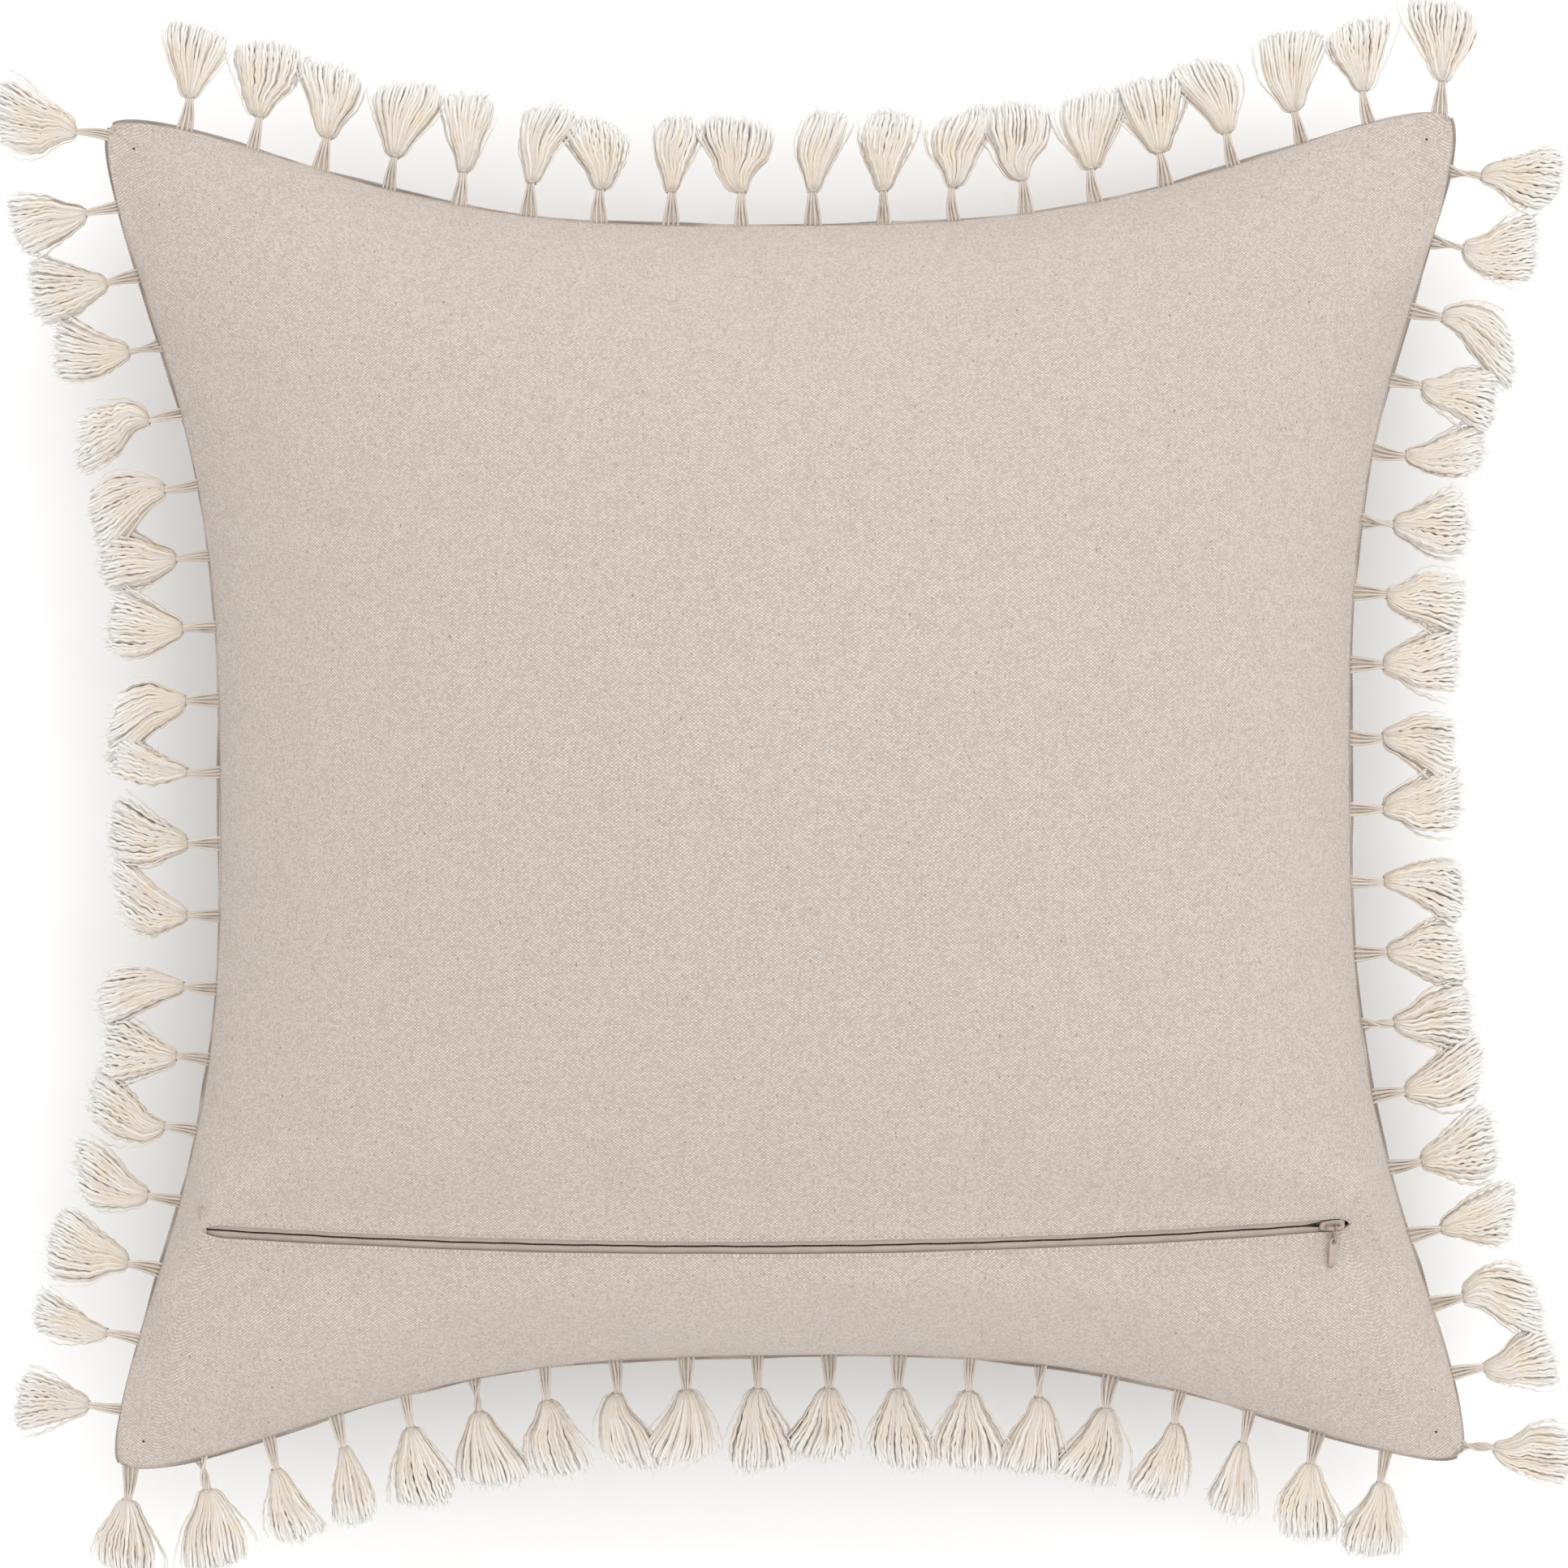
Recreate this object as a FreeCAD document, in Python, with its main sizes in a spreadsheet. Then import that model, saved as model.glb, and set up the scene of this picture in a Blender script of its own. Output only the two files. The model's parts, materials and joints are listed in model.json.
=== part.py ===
import FreeCAD, Part
import math
import os

import Sketcher
from FreeCAD import Placement, Rotation, Vector

# A square throw pillow that lies on its front face, with the zipped back face up.
# +X runs along the zip, +Y from the zip to the far seam, +Z up. The origin is the middle of the
# flat patch it rests on. Everything sewn to the cover is placed from the seam outline, and
# everything on the zip from one arc, so that the slider can run along it as a hinge.

doc = FreeCAD.newDocument("throw_pillow")
sheet = doc.addObject("Spreadsheet::Sheet", "Sizes")

SIZES = {
    # cover
    "cover_half": 221.0,            # corner to corner half width of the seam outline
    "side_sag": 36.0,               # how far each side pulls in at its middle
    "seam_height": 66.0,
    "back_crown": 84.0,             # height of the back face over the seam
    "front_crown": 76.0,            # depth of the front face before the ground flattens it
    "cloth": 0.9,
    "cloth_gap": 0.1,
    "edge_flare": 0.15,             # 0 makes the faces meet the seam upright, more lets them slope
    # insert
    "insert_inset": 10.2,           # the insert is smaller than the cover by its seam allowance
    "insert_gap": 5.6,              # room under the back face for the zip slider
    "insert_lift": 1.3,
    "casing": 0.5,
    # fringe header and overlock in the seam
    "header_out": 0.5,
    "header_in": 8.0,
    "header_thick": 1.2,
    "overlock_in": 9.6,
    "overlock_thick": 2.4,
    # zip
    "zip_y": -147.0,                # middle of the zip
    "zip_height": 50.5,             # of its middle over the seam
    "zip_half_chord": 187.0,
    "zip_plan_sag": 5.0,
    "zip_rise": 29.0,
    "zip_cross_slope": 20.0,
    "slot_half": 3.4,
    "slot_left": 190.7,
    "slot_right": 183.5,
    "tape_top": -1.4,
    "tape_thick": 0.5,
    "tape_inner": 0.55,
    "tape_outer": 8.0,
    "coil_gap": 0.05,
    "coil_height": 1.3,
    "coil_inner": 0.5,
    "coil_outer": 2.1,
    # slider, its wire link and its pull tab
    "slider_x": 176.6,
    "slider_stop_x": 184.4,
    "slider_length": 8.5,
    "slider_half": 3.1,
    "slider_top": 0.3,
    "slider_top_low": -1.1,
    "slider_base_top": -3.45,
    "slider_base_low": -4.2,
    "flange_top": -2.2,
    "flange_inner": 2.5,
    "web_half": 0.3,
    "bridge_length": 5.4,
    "bridge_leg": 0.8,
    "bridge_width": 1.2,
    "bridge_bar_low": 1.95,
    "bridge_bar_top": 2.85,
    "link_radius": 1.25,
    "link_wire": 0.3,
    "link_length": 3.4,
    "link_droop": 3.0,
    "tab_length": 8.2,
    "tab_thick": 1.0,
    "tab_eye": 1.45,
    "tab_hole": 0.75,
    "tab_end": 1.2,
    # tassels
    "tassel_pitch_count": 18.0,
    "tassel_first_long": 24.0,      # first tassel's distance from the corner, far and near sides
    "tassel_first_short": 18.0,     # the same on the left and right sides
    "tassel_last": 3.0,
    "tassel_root": 2.2,
    "tassel_length": 36.0,
    "tassel_droop": 12.0,
    "tassel_fan": 0.6,              # how much a tassel follows the slope of its seam
    "tie_station": 9.2,
    "tie_ring": 1.9,
    "tie_thread": 0.35,
    # corner tacks
    "tack_share": 0.86,             # of the way from the middle to the corner, both ways
    "tack_radius": 0.45,
}
for row, (alias, value) in enumerate(SIZES.items(), start=1):
    sheet.set(f"A{row}", alias)
    sheet.set(f"B{row}", str(value))
    sheet.setAlias(f"B{row}", alias)
doc.recompute()


def size(alias):
    return float(sheet.get(alias))


parts = {}


def keep(feature, node):
    """Give a finished sub-part its node name."""
    feature.Label = node
    parts[node] = feature
    return feature


def freeform(node, shape, placement=None):
    feature = doc.addObject("Part::Feature", node)
    feature.Shape = shape
    if placement:
        feature.Placement = placement
    return keep(feature, node)


def frame_placement(origin, x_axis, y_axis, z_axis):
    matrix = FreeCAD.Matrix(
        x_axis.x, y_axis.x, z_axis.x, origin.x,
        x_axis.y, y_axis.y, z_axis.y, origin.y,
        x_axis.z, y_axis.z, z_axis.z, origin.z,
    )
    return Placement(matrix)


# ---- the zip's arc ---------------------------------------------------------------------------

seam_height = size("seam_height")
zip_sag = math.hypot(size("zip_plan_sag"), size("zip_rise"))
zip_radius = (size("zip_half_chord") ** 2 + zip_sag**2) / (2 * zip_sag)
zip_middle = Vector(0, size("zip_y"), seam_height + size("zip_height"))
zip_up = Vector(0, -size("zip_plan_sag"), size("zip_rise")).normalize()   # from the arc's centre
zip_axis = Vector(0, zip_up.z, -zip_up.y)
zip_centre = zip_middle - zip_up * zip_radius
cross_slope = math.radians(size("zip_cross_slope"))
zip_across = Vector(0, math.cos(cross_slope), math.sin(cross_slope))
across_up = zip_across.dot(zip_up)
across_axis = zip_across.dot(zip_axis)
profile_turn = math.degrees(math.asin(across_up))


def zip_angle(x):
    """Angle along the arc, from its middle, at a distance x along the chord."""
    return math.degrees(math.asin(x / zip_radius))


def zip_frame(degrees):
    """The zip's along, across and outward directions, and the point on it, at an angle."""
    turn = Rotation(zip_axis, degrees)
    along = turn.multVec(Vector(1, 0, 0))
    across = turn.multVec(zip_across)
    point = zip_centre + turn.multVec(zip_up) * zip_radius
    return point, along, across, along.cross(across)


def zip_surface_height(x, y):
    """Height of the conical band that the zip's two tapes lie in."""
    across = 0.0
    for _ in range(8):
        reach = zip_radius + across * across_up
        up = math.sqrt(reach**2 - x**2)
        along_axis = (y - zip_centre.y - up * zip_up.y) / zip_axis.y
        across = along_axis / across_axis
    return zip_centre.z + up * zip_up.z + along_axis * zip_axis.z


def zip_plan_y(x):
    up = math.sqrt(zip_radius**2 - x**2)
    return zip_centre.y + up * zip_up.y


# ---- the cover's surfaces --------------------------------------------------------------------

GRID = 41
SEW = 0.02
FLAT_BAND = 9.0        # half width of the band along the zip that is exactly conical
FADE_BAND = 32.0       # where the band has faded into the crowned face
FADE_END = (192.0, 201.5)


def smooth_step(value):
    value = min(max(value, 0.0), 1.0)
    return value * value * (3 - 2 * value)


def pull_in(fraction):
    """Share of the full half width that is left where a side has pulled in."""
    return 1 - size("side_sag") / size("cover_half") * (1 - abs(fraction) ** 3) ** 2


def plan_point(across, up, inset):
    half = size("cover_half") - inset
    return half * across * pull_in(up), half * up * pull_in(across)


def station(share):
    """Plan fraction and lift of the crowned face at a share, -1 to 1, of its width."""
    flare = size("edge_flare")
    plan = (1 - flare) * math.sin(math.pi / 2 * share) + flare * share
    return plan, math.cos(math.pi / 2 * share)


def stations():
    return [station(2 * i / (GRID - 1) - 1) for i in range(GRID)]


def face_height(x, y, lift, crown, has_zip, sink, rim):
    """Height over the rim of a crowned face, blended into the zip's band on the back."""
    height = crown * lift
    if not has_zip:
        return height
    distance = abs(y - zip_plan_y(x))
    blend = 1 - smooth_step((distance - FLAT_BAND) / (FADE_BAND - FLAT_BAND))
    blend *= 1 - smooth_step((abs(x) - FADE_END[0]) / (FADE_END[1] - FADE_END[0]))
    band = zip_surface_height(x, y) - rim - sink / math.cos(cross_slope)
    return height + blend * (band - height)


def crowned_face(inset, sink, crown, direction, rim, has_zip=False):
    """B-spline face that rises (or hangs) from a level rim to the crown in the middle."""
    grid = []
    for across, lift_across in stations():
        line = []
        for up, lift_up in stations():
            x, y = plan_point(across, up, inset)
            on_rim = 1 in (abs(across), abs(up))
            lift = lift_across * lift_up
            height = 0.0
            if not on_rim:
                height = face_height(x, y, lift, crown - sink, has_zip, sink, rim)
            line.append(Vector(x, y, rim + direction * height))
        grid.append(line)
    surface = Part.BSplineSurface()
    surface.interpolate(grid)
    return surface.toShape()


def closed_solid(faces):
    shell = Part.makeShell(faces)
    shell.sewShape(SEW)
    solid = Part.makeSolid(Part.Shell(shell.Faces))
    if solid.Volume < 0:
        solid.reverse()
    return solid


def crowned_half(*form, **options):
    """Closed half pillow: a crowned face over a flat base at the rim's height."""
    crowned = crowned_face(*form, **options)
    base = Part.Face(Part.Wire(Part.__sortEdges__(crowned.Edges)))
    return closed_solid([crowned, base])


def above(height):
    """Everything over a level plane, as a block larger than the pillow."""
    reach = 2 * size("cover_half")
    return Part.makeBox(2 * reach, 2 * reach, reach, Vector(-reach, -reach, height))


def outline_side(inset, turns):
    """One side of the seam outline as a curve, turned clockwise by quarter turns."""
    points = [Vector(*plan_point(across, 1.0, inset), 0) for across, _ in stations()]
    curve = Part.BSplineCurve()
    curve.interpolate(points)
    edge = curve.toShape()
    edge.rotate(Vector(), Vector(0, 0, 1), -90 * turns)
    return edge


def seam_slab(inset, thick):
    """Flat slab inside the seam outline, centred on the seam's height."""
    face = Part.Face(Part.Wire([outline_side(inset, turns) for turns in range(4)]))
    slab = face.extrude(Vector(0, 0, thick))
    slab.translate(Vector(0, 0, seam_height - thick / 2))
    return slab


cloth = size("cloth")
rim_gap = size("header_thick") / 2 + size("cloth_gap")
front_outer = crowned_half(0, 0, size("front_crown"), -1, seam_height - rim_gap)
front_inner = crowned_half(cloth, cloth, size("front_crown"), -1, seam_height - rim_gap)
freeform("front_panel", front_outer.common(above(0)).cut(front_inner.common(above(cloth))))

back_outer = crowned_half(0, 0, size("back_crown"), 1, seam_height + rim_gap, has_zip=True)
back_inner = crowned_half(cloth, cloth, size("back_crown"), 1, seam_height + rim_gap, has_zip=True)
back_shell = back_outer.cut(back_inner)


def swept_block(low, high, left, right, start_x, end_x):
    """Solid swept round the zip's axis: low and high across the zip's skin, left to right across."""
    point, along, across, outward = zip_frame(zip_angle(start_x))
    corners = [(low, left), (high, left), (high, right), (low, right), (low, left)]
    wire = Part.makePolygon([point + outward * n + across * u for n, u in corners])
    sweep = zip_angle(end_x) - zip_angle(start_x)
    return Part.Face(wire).revolve(zip_centre, zip_axis, sweep)


REACH = 60.0            # a cutter's height each way from the zip's skin
FAR_SIDE = 420.0        # a cutter's width across the pillow
CUT_X = 235.0
JOIN = 0.05             # half the gap of the closed seam past the zip's ends

slot = swept_block(
    -REACH, REACH, -size("slot_half"), size("slot_half"), -size("slot_left"), size("slot_right")
)
lower_side = swept_block(-REACH, REACH, -FAR_SIDE / 4, JOIN, -CUT_X, CUT_X)
plain_band = swept_block(-REACH, REACH, -FAR_SIDE / 4, -JOIN, -CUT_X, CUT_X)
freeform("back_panel_upper", back_shell.cut(lower_side.fuse(slot)))
freeform("back_panel_lower", back_shell.common(plain_band).cut(slot))

# ---- the insert ------------------------------------------------------------------------------

casing = size("casing")
crowns = (size("front_crown"), size("back_crown"))


def insert_faces(depth, rim_offset, make):
    """The insert's front and back at a depth in from its skin, made by make."""
    inset = size("insert_inset") + depth
    lift = size("insert_lift") + depth
    gap = size("insert_gap") + depth
    front = make(inset, lift, crowns[0], -1, seam_height - rim_offset)
    back = make(inset, gap, crowns[1], 1, seam_height + rim_offset, has_zip=True)
    return front, back


CASING_RIM = 0.05
casing_outer = insert_faces(0, CASING_RIM, crowned_half)
casing_inner = insert_faces(casing, CASING_RIM, crowned_half)
front_floor = size("insert_lift")
casing_front = casing_outer[0].common(above(front_floor))
casing_front = casing_front.cut(casing_inner[0].common(above(front_floor + casing)))
freeform("insert_casing_front", casing_front)
freeform("insert_casing_back", casing_outer[1].cut(casing_inner[1]))
filling_depth = casing + size("cloth_gap")
filling_front, filling_back = insert_faces(filling_depth, CASING_RIM, crowned_half)
waist_inset = size("insert_inset") + filling_depth + 8
waist = seam_slab(waist_inset, 2.0)
filling_front = filling_front.common(above(front_floor + filling_depth))
freeform("insert_filling", filling_front.fuse(waist).fuse(filling_back))

# ---- header and overlock in the seam ---------------------------------------------------------

for node, outer_inset, inner_inset, thick in (
    ("fringe_header", -size("header_out"), size("header_in"), size("header_thick")),
    ("seam_overlock", size("header_in") + 0.1, size("overlock_in"), size("overlock_thick")),
):
    freeform(node, seam_slab(outer_inset, thick).cut(seam_slab(inner_inset, thick)))

# ---- zip tapes and coils, swept round the zip's axis -----------------------------------------


def strip_sketch(body, node, low, high, inner, outer, side):
    """Rectangle at the zip's skin: its X is outward from the pillow, its Y across the zip."""
    sketch = body.newObject("Sketcher::SketchObject", f"{node}_profile")
    plane = next(f for f in body.Origin.OriginFeatures if f.Role == "XY_Plane")
    sketch.AttachmentSupport = [(plane, "")]
    sketch.MapMode = "FlatFace"
    sketch.AttachmentOffset = Placement(
        Vector(zip_radius, 0, 0), Rotation(Vector(0, 0, 1), -profile_turn)
    )
    corners = [(low, inner), (high, inner), (high, outer), (low, outer)]
    values = [(size_of(n), side * size_of(u)) for n, u in corners]
    for i in range(4):
        start = Vector(*values[i], 0)
        end = Vector(*values[(i + 1) % 4], 0)
        sketch.addGeometry(Part.LineSegment(start, end))
    for i in range(4):
        sketch.addConstraint(Sketcher.Constraint("Coincident", i, 2, (i + 1) % 4, 1))
    for i in (0, 2):
        sketch.addConstraint(Sketcher.Constraint("Horizontal", i))
        sketch.addConstraint(Sketcher.Constraint("Vertical", i + 1))
    for corner in (0, 2):
        bind_offset(sketch, "DistanceX", corner, values[corner][0], corners[corner][0], 1)
        bind_offset(sketch, "DistanceY", corner, values[corner][1], corners[corner][1], side)
    return sketch


def size_of(expression):
    """Value of an expression in the sheet's aliases, such as tape_top - tape_thick."""
    total = 0.0
    sign = 1
    for word in expression.split():
        if word in "+-":
            sign = 1 if word == "+" else -1
        else:
            total += sign * size(word)
    return total


def bind_offset(sketch, kind, corner, value, expression, side):
    """Tie one coordinate of a sketch corner to the sheet, measured from the sketch's origin."""
    cells = " ".join(w if w in "+-" else f"Sizes.{w}" for w in expression.split())
    if value < 0:
        index = sketch.addConstraint(Sketcher.Constraint(kind, corner, 1, -1, 1, -value))
        side = -side
    else:
        index = sketch.addConstraint(Sketcher.Constraint(kind, -1, 1, corner, 1, value))
    sketch.setExpression(f"Constraints[{index}]", cells if side > 0 else f"-({cells})")


def zip_strip(node, low, high, inner, outer, side, start_x, end_x):
    body = doc.addObject("PartDesign::Body", node)
    sketch = strip_sketch(body, node, low, high, inner, outer, side)
    turn = body.newObject("PartDesign::Revolution", f"{node}_sweep")
    turn.Profile = sketch
    turn.ReferenceAxis = (next(f for f in body.Origin.OriginFeatures if f.Role == "Y_Axis"), [""])
    turn.Angle = zip_angle(end_x) - zip_angle(start_x)
    start = Rotation(zip_axis, zip_angle(start_x))
    radial = start.multVec(zip_up)
    body.Placement = frame_placement(zip_centre, radial, zip_axis, radial.cross(zip_axis))
    return keep(body, node)


TAPE_END = 1.2          # how far a tape goes on under the cloth past the slot
for side, name in ((1, "upper"), (-1, "lower")):
    ends = (-size("slot_left") - TAPE_END, size("slot_right") + TAPE_END)
    zip_strip(
        f"zip_tape_{name}", "tape_top - tape_thick", "tape_top", "tape_inner", "tape_outer",
        side, *ends,
    )
    zip_strip(
        f"zip_coil_{name}", "tape_top - tape_thick - coil_gap - coil_height",
        "tape_top - tape_thick - coil_gap", "coil_inner", "coil_outer", side, *ends,
    )

TACK_LENGTH = 1.1
TACK_EDGE = 0.15        # from the slot's end
tack_low = size("tape_top") + 0.05
end_tacks = [
    swept_block(tack_low, tack_low + 0.7, -2.4, 2.4, start, start + TACK_LENGTH)
    for start in (-size("slot_left") + TACK_EDGE, size("slot_right") - TACK_EDGE - TACK_LENGTH)
]
freeform("zip_end_tacks", Part.makeCompound(end_tacks))

# ---- slider ----------------------------------------------------------------------------------


def block(name, length, width, low, high, centre_y="0"):
    """Box centred in X on the slider, from low to high, all given as sheet expressions."""
    box = doc.addObject("Part::Box", name)
    box.setExpression("Length", length)
    box.setExpression("Width", width)
    box.setExpression("Height", f"{high} - ({low})")
    box.setExpression("Placement.Base.x", f"-({length}) / 2")
    box.setExpression("Placement.Base.y", f"{centre_y} - ({width}) / 2")
    box.setExpression("Placement.Base.z", low)
    return box


SLIDER_LONG = "Sizes.slider_length"
SLIDER_WIDE = "2 * Sizes.slider_half"
FLANGE_WIDE = "(Sizes.slider_half - Sizes.flange_inner)"
FLANGE_MIDDLE = "(Sizes.slider_half + Sizes.flange_inner) / 2"
slider_blocks = [
    block("slider_top_plate", SLIDER_LONG, SLIDER_WIDE, "Sizes.slider_top_low", "Sizes.slider_top"),
    block("slider_base_plate", SLIDER_LONG, SLIDER_WIDE,
          "Sizes.slider_base_low", "Sizes.slider_base_top"),
    block("slider_web", SLIDER_LONG, "2 * Sizes.web_half",
          "Sizes.slider_base_low", "Sizes.slider_top"),
    block("slider_flange_far", SLIDER_LONG, FLANGE_WIDE,
          "Sizes.slider_base_low", "Sizes.flange_top", FLANGE_MIDDLE),
    block("slider_flange_near", SLIDER_LONG, FLANGE_WIDE,
          "Sizes.slider_base_low", "Sizes.flange_top", f"-{FLANGE_MIDDLE}"),
]
bridge = block("slider_bridge_block", "Sizes.bridge_length", "Sizes.bridge_width",
               "Sizes.slider_top_low", "Sizes.bridge_bar_top")
bridge_eye = block("slider_bridge_eye", "Sizes.bridge_length - 2 * Sizes.bridge_leg",
                   "2 * Sizes.bridge_width", "Sizes.slider_top", "Sizes.bridge_bar_low")
bridge_arch = doc.addObject("Part::Cut", "slider_bridge")
bridge_arch.Base = bridge
bridge_arch.Tool = bridge_eye
slider = doc.addObject("Part::MultiFuse", "zip_slider")
slider.Shapes = slider_blocks + [bridge_arch]
rest_point, rest_along, rest_across, rest_outward = zip_frame(zip_angle(size("slider_x")))
slider.Placement = frame_placement(rest_point, rest_along, rest_across, rest_outward)
keep(slider, "zip_slider")

# The wire link rings the slider's bridge and lies toward the near seam, a little below level.
bar_height = (size("bridge_bar_low") + size("bridge_bar_top")) / 2
link_point = rest_point + rest_outward * bar_height
link_axis = rest_along * -1
droop = Rotation(link_axis, -size("link_droop"))
link_out = droop.multVec(rest_across * -1)
link_up = link_axis.cross(link_out)

link_pieces = []
for end, turn in (("near", 90), ("far", -90)):
    bend = doc.addObject("Part::Torus", f"link_bend_{end}")
    bend.setExpression("Radius1", "Sizes.link_radius")
    bend.setExpression("Radius2", "Sizes.link_wire")
    bend.Angle3 = 180
    bend.Placement = Placement(Vector(), Rotation(Vector(0, 0, 1), turn))
    if end == "far":
        bend.setExpression("Placement.Base.x", "Sizes.link_length")
    link_pieces.append(bend)
for name, sign in (("left", "-"), ("right", "")):
    run = doc.addObject("Part::Cylinder", f"link_run_{name}")
    run.setExpression("Radius", "Sizes.link_wire")
    run.setExpression("Height", "Sizes.link_length")
    run.Placement = Placement(Vector(), Rotation(Vector(0, 1, 0), 90))
    run.setExpression("Placement.Base.y", f"{sign}Sizes.link_radius")
    link_pieces.append(run)
link = doc.addObject("Part::MultiFuse", "zip_pull_link")
link.Shapes = link_pieces
link.Placement = frame_placement(link_point, link_out, link_up, link_axis)
keep(link, "zip_pull_link")

# The drop-shaped tab hangs from the link's far bend by its eye.
tab_point = link_point + link_out * (size("link_length") + size("link_radius"))
tab = doc.addObject("PartDesign::Body", "zip_pull_tab")
tab_sketch = tab.newObject("Sketcher::SketchObject", "tab_outline")
tab_plane = next(f for f in tab.Origin.OriginFeatures if f.Role == "XY_Plane")
tab_sketch.AttachmentSupport = [(tab_plane, "")]
tab_sketch.MapMode = "FlatFace"
eye, end, long = size("tab_eye"), size("tab_end"), size("tab_length")
lean = math.acos((eye - end) / long)
full = math.pi
normal = Vector(0, 0, 1)
upper = Vector(math.cos(lean), math.sin(lean), 0)
lower = Vector(math.cos(lean), -math.sin(lean), 0)
far_end = Vector(long, 0, 0)
tab_sketch.addGeometry(Part.ArcOfCircle(Part.Circle(Vector(), normal, eye), lean, 2 * full - lean))
tab_sketch.addGeometry(Part.ArcOfCircle(Part.Circle(far_end, normal, end), -lean, lean))
tab_sketch.addGeometry(Part.LineSegment(upper * eye, far_end + upper * end))
tab_sketch.addGeometry(Part.LineSegment(lower * eye, far_end + lower * end))
tab_sketch.addGeometry(Part.Circle(Vector(), normal, size("tab_hole")))
tab_sketch.addConstraint(Sketcher.Constraint("Coincident", 0, 3, -1, 1))
tab_sketch.addConstraint(Sketcher.Constraint("Coincident", 4, 3, -1, 1))
tab_sketch.addConstraint(Sketcher.Constraint("PointOnObject", 1, 3, -1))
for line, arc_start, arc_end in ((2, 1, 2), (3, 2, 1)):
    tab_sketch.addConstraint(Sketcher.Constraint("Tangent", 0, arc_start, line, 1))
    tab_sketch.addConstraint(Sketcher.Constraint("Tangent", line, 2, 1, arc_end))
for alias, kind, item in (("tab_eye", "Radius", 0), ("tab_end", "Radius", 1),
                          ("tab_hole", "Radius", 4)):
    index = tab_sketch.addConstraint(Sketcher.Constraint(kind, item, size(alias)))
    tab_sketch.setExpression(f"Constraints[{index}]", f"Sizes.{alias}")
index = tab_sketch.addConstraint(Sketcher.Constraint("DistanceX", -1, 1, 1, 3, long))
tab_sketch.setExpression(f"Constraints[{index}]", "Sizes.tab_length")
tab_pad = tab.newObject("PartDesign::Pad", "tab_pad")
tab_pad.Profile = tab_sketch
tab_pad.SideType = "Symmetric"
tab_pad.setExpression("Length", "Sizes.tab_thick")
tab.Placement = frame_placement(tab_point, link_out, link_axis * -1, link_up)
keep(tab, "zip_pull_tab")

# ---- tassels ---------------------------------------------------------------------------------

# One tassel along its own +Z: distance along it, half width of the fan, half thickness.
TASSEL_SECTIONS = [
    (0.0, 2.0, 0.95),
    (5.0, 1.5, 1.0),
    (8.0, 1.3, 1.2),
    (10.3, 1.3, 1.2),
    (12.8, 3.7, 3.0),
    (16.0, 5.0, 3.5),
    (25.0, 7.9, 3.5),
    (33.5, 9.3, 3.1),
    (36.0, 8.6, 2.4),
]
TASSEL_DRAWN = 36.0
sections = []
for i, (length, wide, thick) in enumerate(TASSEL_SECTIONS):
    ring = doc.addObject("Part::Ellipse", f"tassel_section_{i}")
    ring.MajorRadius = wide
    ring.MinorRadius = thick
    ring.setExpression("Placement.Base.z", f"Sizes.tassel_length * {length / TASSEL_DRAWN:.6f}")
    sections.append(ring)
bundle = doc.addObject("Part::Loft", "tassel_bundle")
bundle.Sections = sections
bundle.Solid = True
bundle.Ruled = False
tie = doc.addObject("Part::Torus", "tassel_tie")
tie.setExpression("Radius1", "Sizes.tie_ring")
tie.setExpression("Radius2", "Sizes.tie_thread")
tie.setExpression("Placement.Base.z", "Sizes.tie_station")
doc.recompute()

SIDES = ("top", "right", "bottom", "left")      # clockwise, seen from above
GROUPS = ((0, 4), (4, 8), (8, 11), (11, 15), (15, 19))


def seam_path():
    """Points along the top side of the seam, with the distance run from its left corner."""
    steps = 400
    path = []
    run = 0.0
    for i in range(steps + 1):
        x, y = plan_point(2 * i / steps - 1, 1.0, 0)
        if path:
            run += math.hypot(x - path[-1][1], y - path[-1][2])
        path.append((run, x, y))
    return path


def tassel_roots(first):
    """Root and seam slope of each tassel on the top side, evenly spaced to the next corner."""
    path = seam_path()
    last = path[-1][0] - size("tassel_last")
    pitches = int(size("tassel_pitch_count"))
    roots = []
    for i in range(pitches + 1):
        target = first + (last - first) * i / pitches
        k = next(n for n in range(1, len(path)) if path[n][0] >= target)
        (run_a, x_a, y_a), (run_b, x_b, y_b) = path[k - 1], path[k]
        mix = (target - run_a) / (run_b - run_a)
        slope = math.atan2(y_b - y_a, x_b - x_a)
        roots.append((x_a + mix * (x_b - x_a), y_a + mix * (y_b - y_a), slope))
    return roots


droop_angle = math.radians(size("tassel_droop"))
tassel_groups = []      # side, number, a point on the hinge line, its direction, tassel frames
for turns, side_name in enumerate(SIDES):
    first = size("tassel_first_short") if side_name in ("left", "right") else size("tassel_first_long")
    quarter = Rotation(Vector(0, 0, 1), -90 * turns)
    frames = []
    for x, y, slope in tassel_roots(first):
        outward = Vector(-math.sin(slope), math.cos(slope), 0)
        root = Vector(x, y, seam_height) + outward * size("tassel_root")
        lean = slope * size("tassel_fan")
        flat = Vector(-math.sin(lean), math.cos(lean), 0)
        down = Vector(0, 0, -1)
        point_out = flat * math.cos(droop_angle) + down * math.sin(droop_angle)
        lateral = Vector(math.cos(lean), math.sin(lean), 0)
        normal_up = point_out.cross(lateral)
        frames.append([quarter.multVec(v) for v in (root, lateral, normal_up, point_out)])
    for number, (begin, stop) in enumerate(GROUPS, start=1):
        members = frames[begin:stop]
        start_root, end_root = members[0][0], members[-1][0]
        hinge = (end_root - start_root).normalize()
        out = hinge.cross(Vector(0, 0, -1))
        reach = max((frame[0] - start_root).dot(out) for frame in members)
        middle = (start_root + end_root) * 0.5 + out * reach
        tassel_groups.append((side_name, number, middle, hinge, members))

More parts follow.
